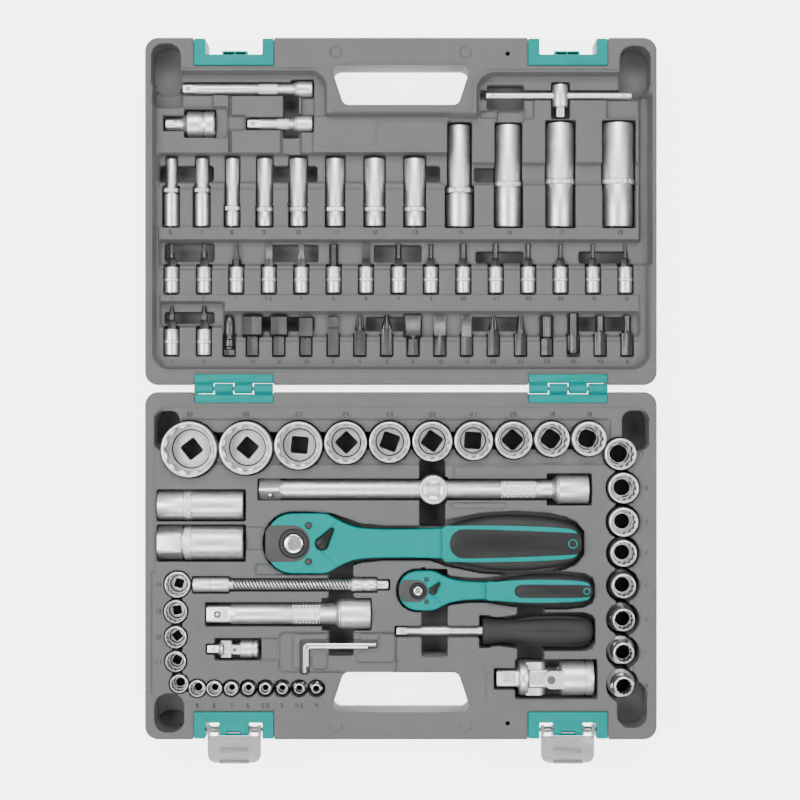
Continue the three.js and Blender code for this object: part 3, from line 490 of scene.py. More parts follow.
def shell_mesh(tray, name):
    """The closed skin of one shell, in case coordinates."""
    pad = GRID
    y_low, y_high = sorted((tray.sign * SHELL_NEAR, tray.sign * SHELL_FAR))
    xs = np.linspace(-HALF_WIDTH - pad, HALF_WIDTH + pad, int(2 * (HALF_WIDTH + pad) / GRID))
    ys = np.linspace(y_low - pad, y_high + pad, int((y_high - y_low + 2 * pad) / GRID))
    grid_x, grid_y = np.meshgrid(xs, ys, indexing="ij")
    inside = solid_distance(tray, grid_x, grid_y) < 0
    cells = inside[:-1, :-1] & inside[1:, :-1] & inside[:-1, 1:] & inside[1:, 1:]
    rows, columns = cells.shape
    count = np.zeros(inside.shape, int)  # the cells round each grid point
    for di in (0, 1):
        for dj in (0, 1):
            count[di:rows + di, dj:columns + dj] += cells
    used = count > 0
    border = used & (count < 4)

    x = grid_x[used].copy()
    y = grid_y[used].copy()
    on_border = border[used]
    bx, by = x[on_border], y[on_border]
    for _ in range(3):
        snapped(bx, by, lambda a, b: solid_distance(tray, a, b), 3 * GRID)
    inner_x, inner_y = x[~on_border], y[~on_border]
    heights = np.zeros(x.shape)
    inner_z = tray_height(tray, inner_x, inner_y)
    x[~on_border], y[~on_border], heights[~on_border] = inner_x, inner_y, inner_z
    x[on_border], y[on_border], heights[on_border] = bx, by, tray_height(tray, bx.copy(), by.copy())
    rim = np.clip(1 + solid_distance(tray, x, y) / 1.6, 0, 1)
    heights = heights - 0.9 * rim * rim

    numbers = np.full(inside.shape, -1)
    numbers[used] = np.arange(used.sum())
    a = numbers[:-1, :-1][cells]
    b = numbers[1:, :-1][cells]
    c = numbers[1:, 1:][cells]
    d = numbers[:-1, 1:][cells]

    bm = bmesh.new()
    verts = [bm.verts.new(p) for p in np.stack([x, y, heights], 1).tolist()]
    for face in np.stack([a, b, c, d], 1).tolist():
        bm.faces.new([verts[i] for i in face])
    bm.verts.ensure_lookup_table()
    skirt(bm, tray)
    for vert in bm.verts:
        vert.co = to_frame(*vert.co)
    mesh = bpy.data.meshes.new(name)
    bm.to_mesh(mesh)
    bm.free()
    return mesh


def border_loops(bm):
    """Closed loops of vertices round the open border of a sheet."""
    following = {}
    for edge in bm.edges:
        if len(edge.link_faces) == 1:
            loop = edge.link_loops[0]
            following[loop.link_loop_next.vert] = loop.vert
    loops = []
    left = set(following)
    while left:
        start = next(v for v in bm.verts if v in left) if len(left) < 50 else min(left, key=lambda v: v.index)
        chain = [start]
        left.discard(start)
        at = following[start]
        while at is not start:
            chain.append(at)
            left.discard(at)
            at = following[at]
        loops.append(chain)
    return loops


def underside(bm, feet):
    """The flat face between the foot loops, left open inside the holes."""
    points = []
    edges = []
    corners = []
    for loop in feet:
        first = len(points)
        points += [vert.co.xy.copy() for vert in loop]
        corners += loop
        edges += [(first + i, first + (i + 1) % len(loop)) for i in range(len(loop))]
    found = delaunay_2d_cdt(points, edges, [], 0, 1e-7)
    places, triangles, origin = found[0], found[2], found[3]
    ax, ay = np.array([points[a] for a, _ in edges]).T
    bx, by = np.array([points[b] for _, b in edges]).T
    for triangle in triangles:
        if any(not origin[i] for i in triangle):
            continue
        cx = sum(places[i].x for i in triangle) / 3
        cy = sum(places[i].y for i in triangle) / 3
        spans = (ay > cy) != (by > cy)
        reach = ax[spans] + (cy - ay[spans]) / (by[spans] - ay[spans]) * (bx[spans] - ax[spans])
        if (reach > cx).sum() % 2:
            bm.faces.new([corners[origin[i][0]] for i in reversed(triangle)])


def skirt(bm, tray):
    """Side walls from the inside face's border down to the floor, with a rounded foot, and the underside."""
    bm.verts.index_update()
    feet = []
    profile = [(0.0, None), (0.35, RIM_Z - 3.0), (SIDE_DRAFT * 0.5, RIM_Z * 0.5), (SIDE_DRAFT, BOTTOM_ROUND)]
    for k in range(1, 6):
        angle = math.pi / 2 * k / 5
        profile.append((SIDE_DRAFT + BOTTOM_ROUND * (1 - math.cos(angle)) * 0.8,
                        BOTTOM_ROUND * (1 - math.sin(angle))))
    for chain in border_loops(bm):
        rim_x = np.array([v.co.x for v in chain])
        rim_y = np.array([v.co.y for v in chain])
        px, py = rim_x.copy(), rim_y.copy()
        upper = chain
        for inset, height in profile[1:]:
            for _ in range(4):
                snapped(px, py, lambda a, b, by=inset: solid_distance(tray, a, b) + by, 1e3)
            wide_x = px + 0.004 * (rim_x - px)
            wide_y = py + 0.004 * (rim_y - py)
            lower = [bm.verts.new((wide_x[i], wide_y[i], height)) for i in range(len(chain))]
            for i in range(len(chain)):
                k = (i + 1) % len(chain)
                bm.faces.new((upper[i], upper[k], lower[k], lower[i]))
            upper = lower
        feet.append(upper)
    underside(bm, feet)
    bmesh.ops.recalc_face_normals(bm, faces=bm.faces)


# ---------------------------------------------------------------- base tray

SOCKETS = [32, 30, 27, 24, 23, 22, 21, 20, 19, 18]


def centre_of(node):
    """A CAD node's box in case coordinates: (x, y, z, width, depth, height)."""
    low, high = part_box(node)
    low = [c / MM for c in low]
    high = [c / MM for c in high]
    return ((low[0] + high[0]) / 2, (low[1] + high[1]) / 2 - HINGE_Y, (low[2] + high[2]) / 2,
            high[0] - low[0], high[1] - low[1], high[2] - low[2])


# (size, x, y), then (size, outside diameter, x, y) for the 1/4 inch sockets
COLUMN = [(17, 165.3, -49.3), (16, 167.6, -74.9), (15, 167.6, -100.5), (14, 167.6, -124), (13, 167.6, -148.5),
          (12, 167.6, -174), (11, 167.6, -199), (10, 167.6, -224.1)]
QUARTER_LEFT = [(14, 19.7, -168.7, -147.9), (13, 17.5, -170, -168.3), (12, 16.7, -170, -187.6),
                (11, 15.7, -170, -206), (10, 14, -167.4, -222.7)]
QUARTER_FRONT = [(size, 12.9 if size == 9 else 11.8, -153.7 + 12.83 * i, -226.3)
                 for i, size in enumerate([9, 8, 7, 6, 5.5, 5, 4.5, 4])]

base = Tray(-1, RIM_Z)
for notch in (-HARDWARE_X, HARDWARE_X):
    base.hole(("box", (notch - 29.8, notch + 29.8, -10.8, 5, 0.5)))
    base.hole(("box", (notch - 30.3, notch + 30.3, -290, -243.5, 1)))
base.hole(("outline", (5.5, [(-45.5, -238.6), (45.5, -238.6), (39.3, -219.6), (-39.3, -219.6)])))
base.pocket(24, ("disc", (80.5, -252.6, 1.7)))

# The tray lies a little below the rim, and a stepped frame follows the handle opening.
base.level(RIM_Z - 1.2, 1.6, ("box", (-186, 187, -236, -14, 10)))
base.level(RIM_Z, 1.6, ("box", (-64, 64, -262, -203, 16)))
base.level(RIM_Z - 3.6, 0.9, ("box", (-165, 158, -57, -23, 2)))
base.level(RIM_Z - 1.6, 1.4, ("box", (-188, -179.5, -231, -138, 2)))
base.level(RIM_Z - 2.6, 2.0, ("box", (175.5, 182, -228, -52, 2)))
base.level(RIM_Z - 0.4, 1.2, ("box", (-150, -56, -245, -235.5, 2)))

for size in SOCKETS:
    x, y, _, width, _, height = centre_of(f"socket_{size}mm")
    base.pocket(50 - height - 0.5, ("disc", (x, y, width / 2 + 1.1)))
base.pocket(16, ("box", (-160, 142, -46, -33, 1)))
base.pocket(9.5, *[("disc", (x, y, (12.5 if size > 14 else 12.2) + 0.6)) for size, x, y in COLUMN],
            ("box", (162, 172, -224, -49, 2)))
base.pocket(18.5, *[("disc", (x, y, d / 2 + 1)) for size, d, x, y in QUARTER_LEFT],
            *[("disc", (x, y, d / 2 + 1)) for size, d, x, y in QUARTER_FRONT],
            ("box", (-173, -165, -222, -148, 2)), ("box", (-164, -64, -229, -224.5, 1)))

# Finger pockets in the corners
base.pocket(12, ("box", (-186.3, -167, -46.8, -16.8, 7)))
base.pocket(12, ("box", (166.7, 187.2, -47.2, -16.5, 8)))
base.pocket(20, ("box", (-186, -163.4, -259.5, -230.1, 10)))
base.pocket(14, ("box", (-186, -163.4, -259.5, -246, 10)))
base.pocket(20, ("box", (163, 185.6, -255.9, -221, 10)))

# Channels for lifting the long tools
base.pocket(10, ("box", (13.7, 33.6, -105, -54, 2)))
base.pocket(14, ("box", (15.4, 35.4, -202, -136, 2)))
base.pocket(12, ("box", (-54.7, -35.8, -202, -128, 2)))
base.pocket(14, ("box", (87.6, 108.3, -208, -160, 2)))

# Spark plug sockets
base.pocket(20.5, ("box", (-184.6, -117, -100.5, -76, 1.5)))
base.pocket(20.5, ("box", (-184.6, -117, -131, -102.5, 1.5)))

# 250 mm extension with its adapter
base.pocket(27, ("box", (-108.4, 120, -84.6, -67.8, 1)))
base.pocket(23.5, ("box", (110, 144.3, -88.4, -63.9, 1)))
base.pocket(12, ("disc", (24.5, -76.2, 13.2)))

# Large ratchet
base.pocket(27, ("disc", (-80.7, -116.6, 24)), ("disc", (-72, -116.6, 24)),
            ("path", (-116.6, [(-72, 24), (-52, 22.5), (-30, 15), (-12, 13.2), (22, 13.2), (34, 17.5),
                               (60, 23), (86, 24.6), (112, 23), (124, 20), (132, 16.5), (138.5, 9)])))
base.pocket(10, ("disc", (-80.7, -116.6, 12)))

# Small ratchet
base.pocket(29, ("disc", (12.8, -152.3, 16.6)), ("disc", (16, -152.3, 16.4)),
            ("path", (-152.3, [(14, 16.6), (24, 15.6), (38, 11), (52, 9.4), (66, 9.6), (84, 12.4),
                               (104, 14.4), (124, 14.6), (138, 13), (144.6, 10), (146.4, 5)])))
base.pocket(20, ("disc", (12.8, -152.3, 7)))

# Spinner handle
base.pocket(30, ("box", (-5, 64, -188, -179, 1)))
base.pocket(20, ("box", (59, 68, -196, -171, 1)),
            ("path", (-183.5, [(62, 12), (74, 11), (88, 13), (108, 14.8), (138, 14.8), (144, 13), (147, 9)])))

# Flexible extension
base.pocket(32, ("box", (-158, -129, -155, -141.4, 1)), ("box", (-130, -36, -153.4, -143, 1)))
base.pocket(32, ("box", (-37.5, -17.6, -154.4, -142, 1)), ("box", (-19, -8, -152.6, -143.8, 1)))

# 125 mm extension
base.pocket(24, ("box", (-148, -54, -179.8, -161.2, 1)), ("box", (-60, -22, -183, -158, 1)))

# Universal joints
base.pocket(19, ("box", (70, 90, -227.5, -211, 1)), ("box", (86, 148.4, -234.6, -204.2, 1.5)))
base.pocket(26, ("box", (-147.6, -137, -201, -192.4, 1)), ("box", (-141, -105.4, -205.4, -188.2, 1.5)))
base.level(RIM_Z - 3.4, 1.6, ("box", (-107, -93, -205, -188.4, 2)))

# Hex keys
base.pocket(38, ("box", (-76.5, -17.5, -196.4, -189.6, 2)), ("box", (-76.5, -69, -216, -189.6, 2)))

# Raised and sunken pads between the tools
base.level(RIM_Z - 3.4, 1.4, ("box", (-92, -3, -214, -184, 4)))
base.level(RIM_Z - 1.6, 1.2, ("box", (-81.6, -55.6, -190.4, -185.4, 2.4)),
           ("box", (-81.6, -74.6, -211.6, -185.4, 2.4)), ("box", (-67.2, -55.6, -211.8, -199.4, 3)),
           ("box", (-33.6, -4.6, -206.6, -198.6, 3)), ("box", (-15.6, -4.6, -206.6, -185.2, 2.4)),
           ("box", (-31, -17.4, -190.6, -185.4, 1.5)))
base.level(RIM_Z - 3.2, 1.2, ("box", (-110, -40, -140.5, -132.6, 2)))
base.level(RIM_Z - 2.6, 0.9, ("box", (-118, -104, -121.2, -104.3, 1)))
base.level(RIM_Z - 3.0, 2.0, ("box", (38, 80, -90.6, -86, 1.5)))
base.level(RIM_Z - 3.0, 2.0, ("box", (40, 100, -66, -58, 1.5)))

for end in (-49, 49):
    base.level(RIM_Z + 1.2, 0.8, ("disc", (end, -254.0, 4.4)))
base_mesh = shell_mesh(base, "base_case_half")
finish_piece("base_case_half", base_mesh, "base", CASE, ["base_shell"], 42)


# ---------------------------------------------------------------- lid tray

LID_LEVEL = 34.0
LABEL_LEVEL = 35.3
VALLEY = 28.5
DEEP_QUARTER = [  # x, top radius, lower radius, collar's Y
    (-174.8, 3.9, 5.75, 151.0), (-151.5, 4.7, 5.8, 151.0), (-128.4, 5.1, 5.4, 137.4),
    (-103.8, 5.8, 5.9, 136.6), (-78.3, 6.6, 6.3, 136.6), (-50.0, 6.9, 6.8, 136.6),
    (-20.1, 7.6, 7.4, 136.6), (10.5, 7.85, 7.7, 136.6)]
DEEP_HALF = [  # the same, and the far end's Y
    (44.6, 8.6, 9.9, 151.3, 201.2), (81.8, 9.75, 9.9, 155.9, 201.2), (121.4, 10.8, 10.3, 157.8, 202.6),
    (165.8, 12.1, 11.4, 157.8, 202.6)]
BIT_SOCKET_XS = [-174.4 + 24.65 * i for i in range(15)]
BIT_XS = [-130.5, -112.9, -92.8, -72.2, -51.5, -31.2, -10.8, 9.3, 29.6, 49.9, 70.2, 90.9, 110.8, 131.0, 151.4,
          171.9]

lid = Tray(1, RIM_Z)
for notch in (-HARDWARE_X, HARDWARE_X):
    lid.hole(("box", (notch - 29.8, notch + 29.8, -5, 10.8, 0.5)))
    lid.hole(("box", (notch - 30.3, notch + 30.3, 243.5, 290, 1)))
lid.hole(("outline", (5.5, [(-39.3, 219.6), (39.3, 219.6), (45.5, 238.6), (-45.5, 238.6)])))
lid.pocket(24, ("disc", (80.5, 252.6, 1.7)))
for end in (-49, 49):
    lid.level(RIM_Z - 1.6, 0.8, ("disc", (end, 253.8, 4.4)))

lid.level(RIM_Z - 1.0, 1.0, ("box", (-189.5, 189.5, 12.6, 209, 14)), ("box", (-189.5, -53, 150, 241.6, 14)),
          ("box", (54, 189.5, 150, 240.6, 14)))
lid.level(LID_LEVEL, 2.2, ("box", (-186.5, 187, 15.5, 206.5, 12)), ("box", (-186.5, -57, 150, 239, 12)),
          ("box", (58, 187, 150, 237.6, 13)))

# Label strips are a little higher, the valleys that the tools' tips lie in lower.
lid.level(LABEL_LEVEL, 1.2, ("box", (-184, 181, 112.8, 123.6, 1)))
lid.level(LABEL_LEVEL, 1.2, ("box", (-142, 181, 58.6, 71.2, 1)), ("box", (-183, -140, 66, 71.8, 1)))
lid.level(LABEL_LEVEL - 0.6, 1.2, ("box", (-183, 181, 16.6, 23.8, 6)))
lid.level(LID_LEVEL + 2.2, 1.6, ("box", (-67, 37, 178.6, 207, 2)))
lid.level(LID_LEVEL + 2.8, 1.2, ("box", (-66, -19.4, 184, 206, 5)))
lid.level(LID_LEVEL + 1.6, 0.9, ("box", (-17.8, 33.4, 181, 203.4, 3.5)))
lid.level(LID_LEVEL - 1.8, 1.2, ("box", (-184, 36, 151.8, 157.5, 1)), ("box", (-184, 181, 90.4, 95, 1)),
          ("box", (-134, 181, 36.4, 40.5, 1)))
lid.level(VALLEY, 2.0, ("box", (-184.5, 36, 156.9, 178.2, 2)), ("box", (30, 181, 155.4, 171.3, 2)))
lid.level(VALLEY, 2.0, ("box", (-183.8, 182, 94.2, 112.2, 2)))
lid.level(VALLEY, 2.0, ("box", (-134.4, 181, 39.8, 57.4, 2)), ("box", (-183, -134.6, 47.3, 65.3, 2)))
lid.level(LID_LEVEL - 4, 1.6, ("box", (181.5, 189, 94, 222, 2)))

# Platforms round the extensions, the adapter and the T-bar
lid.level(LID_LEVEL - 3.2, 1.2, ("box", (-184, -143, 214, 226, 1)), ("box", (-131.6, -90, 222.4, 226, 1)))
lid.level(LID_LEVEL - 4.5, 1.4, ("box", (-142.8, -132, 190.7, 213.8, 2)))
lid.level(LID_LEVEL - 3.4, 1.2, ("box", (-131.5, -118, 196.6, 207.6, 1.5)),
          ("box", (-131, -128.8, 180, 222, 0.8)))
lid.level(LID_LEVEL - 4.0, 1.2, ("box", (-91, -76, 178.6, 196, 1.5)), ("box", (-75.5, -66, 205, 222, 1.5)))
lid.level(LID_LEVEL - 2.6, 1.0, ("box", (94, 101, 205, 221, 1.5)), ("box", (60, 72, 205.5, 211, 2)))
lid.level(LID_LEVEL - 4.0, 1.4, ("box", (156.5, 181, 205.5, 219.6, 1.5)),
          ("box", (73, 93.4, 202.6, 211, 1.5)))

# Slots and finger pockets
for x0, x1, y0, y1 in ((-180.3, -142, 96.6, 111), (-98.6, -62.8, 96.4, 110), (-20.7, 16, 96.2, 109.6),
                       (56.8, 93.8, 95.6, 104.8), (135.3, 173, 95.6, 104.8), (-180.3, -142, 49.4, 58.6),
                       (-119, -66, 43.6, 55), (-27, 8, 43.6, 55), (53, 91, 43.6, 54.8),
                       (134.7, 173.6, 43.6, 54.8), (-184.5, -142.6, 157.6, 170), (-98.6, -63.5, 157.6, 170),
                       (12, 30, 157.6, 170), (55.5, 73, 157.2, 168.6)):
    lid.pocket(15, ("box", (x0, x1, y0, y1, 2.2)))
lid.pocket(14, ("box", (-89.8, -77.3, 190.6, 232, 1.5)))
lid.pocket(20, ("box", (65, 93.8, 211.4, 230.8, 2.5)))
lid.pocket(24, ("box", (-190 + 2.2, -166, 213, 226, 3)))
lid.pocket(21, ("box", (-188.4, -166, 222.6, 260.4, 10)))
lid.pocket(21, ("box", (165, 188.4, 221, 258.6, 10)))

for x, top, low, collar in DEEP_QUARTER:
    lid.pocket(20.5, ("box", (x - top - 0.9, x + top + 0.9, 140, 178, 1)),
               ("box", (x - low - 1.2, x + low + 1.2, 122.2, collar + 3.4, 1)))
for x, top, low, collar, far in DEEP_HALF:
    lid.pocket(11, ("box", (x - top - 1.0, x + top + 1.0, 150, far + 1.6, 1)),
               ("box", (x - low - 1.4, x + low + 1.4, 121.8, collar + 3.4, 1)))
for x in BIT_SOCKET_XS:
    lid.pocket(24, ("box", (x - 6.3, x + 6.3, 71.4, 95, 1)))
for x in BIT_SOCKET_XS[:2]:
    lid.pocket(24, ("box", (x - 6.3, x + 6.3, 24.4, 48, 1)))
for x in BIT_XS:
    lid.pocket(25.5, ("box", (x - 5.2, x + 5.2, 24, 42, 1)))
lid.pocket(24, ("box", (-120.6, -105, 39, 56.4, 1)), ("box", (-99.6, -86, 39, 56.4, 1)),
           ("box", (2, 16, 39, 57, 1)))

lid.pocket(24, ("box", (-167, -82, 222.9, 233.1, 1)), ("box", (-84, -65.8, 221, 235, 1)))
lid.pocket(24, ("box", (-118, -80, 196.3, 206.5, 1)), ("box", (-82, -65.8, 194.6, 208.2, 1)))
lid.pocket(15, ("box", (-181, -161, 195.6, 207.8, 1)), ("box", (-165, -140.6, 190.6, 212.8, 1)))
lid.pocket(25.5, ("box", (59.8, 180.4, 219.0, 227.0, 1)))
lid.pocket(22, ("box", (114, 128.6, 204.6, 233, 1.2)))

lid_mesh = shell_mesh(lid, "lid_case_half")
finish_piece("lid_case_half", lid_mesh, "lid", CASE, ["lid_shell"], 42)


# ---------------------------------------------------------------- standing sockets

SQUARE_HALF = 6.35  # half of a 1/2 inch drive
SMALL_SQUARE_HALF = 3.175  # half of a 1/4 inch drive
RECESS_CORNER = 0.93  # how far a square recess or a drive square reaches along its half diagonal
DRIVE_CORNER = 0.9
SOCKET_LOOKS = [CHROME, BORE, DARK]


def standing_socket(height, radius, size, square_half, square_turn, nose=None, shoulder=0.5):
    """A socket on its drive end, open upwards: wall, bright rim, twelve-point bore, step and square hole."""
    apothem = size / 2 + 0.12
    corner = apothem * 1.155
    top = radius if nose is None else nose
    lip = min(0.8, (top - corner) * 0.4)
    bore_depth = min(0.42 * height, 0.62 * size + 3)
    step = max(apothem * 0.93, square_half * 1.1)
    floor = height - bore_depth - min(3.2, 0.14 * size)
    band = 0.22 * height
    steps = [
        (squared(square_half, square_turn, RECESS_CORNER), 0.0),
        (radius - 0.9, 0.0),
        (radius - 0.25, 0.7),
        (radius, 1.4),
        (radius, band),
        (radius - 0.3, band + 0.3),
        (radius - 0.3, band + 0.9),
        (radius, band + 1.2),
    ]
    if nose is None:
        steps += [(radius, height - 1.3)]
    else:
        steps += [(radius, shoulder * height - 1.0), (radius - 0.5, shoulder * height - 0.2),
                  (nose + 0.6, shoulder * height + 0.5), (nose, shoulder * height + 1.4),
                  (nose, height - 1.1)]
    steps += [
        (top - 0.3, height - 0.45),
        (top - 0.9, height - 0.08),
        (top - 1.1, height),
        (max(corner + lip * 0.6, top - 2.4), height),
        (corner + 0.15, height - 0.25),
        (twelve_point(apothem), height - 0.95),
        (twelve_point(apothem), height - bore_depth + 0.4),
        (twelve_point(apothem * 0.99), height - bore_depth),
        (step + 0.3, height - bore_depth),
        (step, height - bore_depth - 0.3),
        (step, floor - 0.9),
        (step - 0.75, floor - 0.9),
        (step - 0.8, floor - 0.1),
        (step - 1.3, floor),
        (squared(square_half + 0.35, square_turn, RECESS_CORNER), floor),
        (squared(square_half, square_turn, RECESS_CORNER), floor - 0.4),
    ]
    sides = 72
    shape = loft(steps, sides, through=True)
    wall = len(steps) - 11  # the loop where the twelve-point wall starts
    # The twelve-point wall, the step's side and the square hole take the duller bore steel; the narrow groove
    # at the foot of the step takes black as painted shade in its crevice.
    for loop, mark in ((wall, 1), (wall + 1, 1), (wall + 4, 1), (wall + 5, 2), (wall + 6, 2), (wall + 10, 1)):
        shape.marks[loop * sides:(loop + 1) * sides] = [mark] * sides
    return shape


SQUARE_TURNS = {32: 52, 30: 40, 27: 5, 24: 45, 23: 20, 22: 35, 21: 4, 20: 43, 19: 36, 18: 20}
for size in SOCKETS:
    node = f"socket_{size}mm"
    x, y, z, width, _, height = centre_of(node)
    shape = standing_socket(height, width / 2, size, SQUARE_HALF, math.radians(SQUARE_TURNS[size]))
    show(node + "_look", shape, placed(x, y, z - height / 2), node, SOCKET_LOOKS, [node])

COLUMN_NODE = "half_inch_sockets_10_to_17mm"
column_low, column_high = (corner[2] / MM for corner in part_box(COLUMN_NODE))
COLUMN_RADII = {17: (12, None), 16: (11.5, None), 15: (11, None), 14: (11, 10), 13: (11, 9.25), 12: (11, 8.5),
                11: (11, 8), 10: (11, 7.5)}
for i, (size, x, y) in enumerate(COLUMN):
    radius, nose = COLUMN_RADII[size]
    shape = standing_socket(column_high - column_low, radius, size, SQUARE_HALF, 0.5 + 0.7 * i, nose)
    show(f"column_socket_{size}mm", shape, placed(x, y, column_low), COLUMN_NODE, SOCKET_LOOKS,
         [COLUMN_NODE])

QUARTER_NODE = "quarter_inch_sockets_4_to_14mm"
quarter_low, quarter_high = (corner[2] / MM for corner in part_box(QUARTER_NODE))
for i, (size, diameter, x, y) in enumerate(QUARTER_LEFT + QUARTER_FRONT):
    nose = size / 2 + 1.8 if size <= 7 else None
    shape = standing_socket(quarter_high - quarter_low, diameter / 2, size, SMALL_SQUARE_HALF, 0.3 + 1.1 * i,
                            nose)
    name = "quarter_socket_" + str(size).replace(".", "_") + "mm"
    show(name, shape, placed(x, y, quarter_low), QUARTER_NODE, SOCKET_LOOKS, [QUARTER_NODE])


# ---------------------------------------------------------------- tools that lie along the case


def shrunk(outline, by):
    """A radius number or function, less a margin."""
    return (lambda angle: outline(angle) - by) if callable(outline) else outline - by


def both(outline, limit):
    """The smaller of an outline and a circle."""
    return lambda angle: min(outline(angle), limit)


def drive_square(half, length, turn=0.0):
    """Loops of a drive square from its free end to where it meets a shaft."""
    side = squared(half, turn, DRIVE_CORNER)
    return [(shrunk(side, 0.9), 0.0), (shrunk(side, 0.3), 0.35), (side, 1.0), (side, length - 1.2)]


def socket_end(radius, square_half, start, end, depth, turn=0.0):
    """Loops of a socket end with a square recess in its face."""
    hole = squared(square_half, turn, RECESS_CORNER)
    return [(radius - 0.6, start), (radius, start + 0.7), (radius, end - 1.0), (radius - 0.3, end - 0.3),
            (radius - 1.0, end), (square_half * 1.36, end), (shrunk(hole, -0.1), end - 1.0),
            (hole, end - 1.8), (hole, end - depth)]


def ball(radius):
    """A small detent ball."""
    steps = [(radius * math.sin(math.radians(a)) + 0.001, -radius * math.cos(math.radians(a)))
             for a in range(0, 181, 20)]
    return loft(steps, 16)


def lying(name, body, shape, at, materials=CHROME, replaces=(), turn=0.0, along="x",
          sharp=32):
    """A tool at a spot of the case; along says where its own Z points."""
    show(name, shape, placed(*at, turn, along), body, materials, replaces, sharp)


def at_detent(half, along, turn, size):
    """Where a detent ball sits on a drive square's flat, as a matrix in the tool's own frame."""
    return Matrix.Rotation(turn, 4, "Z") @ Matrix.Translation((half - size * 0.35, 0, along))


def extension(square_half, drive, shaft, end_radius, body_end, length, knurled, turn, recess):
    """A drive square, a round shaft with a knurled band, and a socket end."""
    side = squared(square_half, turn, DRIVE_CORNER)
    neck = body_end - 4.5
    steps = drive_square(square_half, drive, turn)
    steps += [(both(side, shaft), drive - 0.4), (both(shrunk(side, -0.6), shaft), drive + 1.2),
              (both(shrunk(side, -1.8), shaft), drive + 3.0), (shaft, drive + 5.6)]
    if knurled:
        low, high = knurled
        steps += [(shaft, low - 0.6), (shaft - 0.25, low - 0.2)]
        rows = max(3, round((high - low) / 2.4))
        steps += knurl(shaft + 0.1, low, high, 0.3, round(shaft * 3.6), rows)
        steps += [(shaft - 0.25, high + 0.2), (shaft, high + 0.6)]
    steps += [(shaft, neck), (shaft + (end_radius - shaft) * 0.35, neck + 2.0),
              (shaft + (end_radius - shaft) * 0.8, neck + 3.6)]
    steps += socket_end(end_radius, square_half + 0.15, body_end, length, recess, turn)
    detent = square_half * 0.32
    where = (square_half, drive * 0.5, math.pi + turn, detent)
    return loft(steps, 72).join(ball(detent), at_detent(*where)).join(detent_seat(*where))


def detent_seat(half, along, turn, size):
    """The dark ring round a detent ball."""
    flat = loft([(size * 1.28, -0.3), (size * 1.28, 0.03), (size * 0.9, 0.03)], 24, mark=1)
    stand = Matrix.Translation((half, 0, along)) @ Matrix.Rotation(QUARTER, 4, "Y")
    return Shape().join(flat, Matrix.Rotation(turn, 4, "Z") @ stand)


EIGHTH = math.pi / 4
QUARTER = math.pi / 2

# A drive square that shows two flats rests on an edge; its detent ball sits on the lower flat.
lying("extension_250mm_look", "extension_250mm",
      extension(SQUARE_HALF, 17, 7, 11, 226.1, 249.3, (183.4, 209.4), EIGHTH, 18), (-107.4, -76.2, 36),
      [CHROME, DARK], replaces=["extension_250mm"])
lying("extension_125mm_look", "extension_125mm",
      extension(SQUARE_HALF, 17, 8, 11.5, 101.4, 124.3, (65.5, 85.8), 0.0, 18), (-147.1, -170.5, 36),
      [CHROME, DARK], replaces=["extension_125mm"])
lying("extension_100mm_look", "extension_100mm",
      extension(SMALL_SQUARE_HALF, 8.0, 4.05, 6.05, 87.2, 98.8, (58, 72), 0.0, 9), (-166, 228, 30.35),
      [CHROME, DARK], replaces=["extension_100mm"])
lying("extension_50mm_look", "extension_50mm",
      extension(SMALL_SQUARE_HALF, 8.0, 4.05, 6.05, 37.5, 49.5, (22.4, 31.2), 0.0, 9), (-116.7, 201.4, 30.35),
      [CHROME, DARK], replaces=["extension_50mm"])


def flexible_extension():
    """A coiled spring shaft between a socket end, at the start, and a drive square."""
    side = squared(SMALL_SQUARE_HALF, 0.0, DRIVE_CORNER)
    hole = squared(3.3, 0.0, RECESS_CORNER)
    head = [(hole, 11.0), (hole, 1.2), (4.5, 0.0), (5.2, 0.0), (5.6, 0.4), (5.75, 1.0), (5.75, 12.6),
            (5.5, 12.9), (5.5, 13.7), (5.75, 14.0), (5.75, 26.4), (5.3, 27.2), (3.7, 27.5), (3.6, 30)]
    shape = loft(head, 48)
    strand = 1.0
    middle = 4.05 - strand
    turns = 9.35
    sides = 10
    stations = 220
    lower, upper = 27.0, 120.5
    for phase in (0.0, QUARTER, math.pi, 3 * QUARTER):
        points = []
        for j in range(stations + 1):
            t = j / stations
            angle = 2 * math.pi * turns * t + phase
            height = lower + (upper - lower) * t
            for i in range(sides):
                a = 2 * math.pi * i / sides
                r = middle + strand * math.cos(a)
                points.append((r * math.cos(angle), r * math.sin(angle), height + 0.88 * math.sin(a)))
        faces = []
        for j in range(stations):
            for i in range(sides):
                k = (i + 1) % sides
                faces.append((j * sides + i, (j + 1) * sides + i, (j + 1) * sides + k, j * sides + k))
        faces.append(tuple(range(sides)))
        faces.append(tuple(reversed([stations * sides + i for i in range(sides)])))
        shape.add(points, faces)
    # A black core inside the strands: painted shade, so that the gaps between the strands read dark.
    shape.join(loft([(2.85, 26.0), (2.85, 121.5)], 24), None, 1)
    tail = [(3.6, 118), (4.6, 119.8), (5.0, 120.2), (5.15, 120.8), (5.15, 128.0), (4.9, 128.4), (4.9, 129.2),
            (5.15, 129.6), (5.15, 137.6), (4.7, 138.6), (both(shrunk(side, -0.6), 4.6), 139.1), (side, 140.0),
            (side, 146.6), (shrunk(side, 0.4), 147.4), (shrunk(side, 0.9), 147.7)]
    shape.join(loft(tail, 48))
    shape.join(ball(0.95), at_detent(SMALL_SQUARE_HALF, 143.6, math.pi, 0.95))
    return shape


lying("flexible_extension_look", "flexible_extension", flexible_extension(), (-157.1, -148.2, 39),
      [CHROME, DARK], replaces=["flexible_extension"], turn=QUARTER)


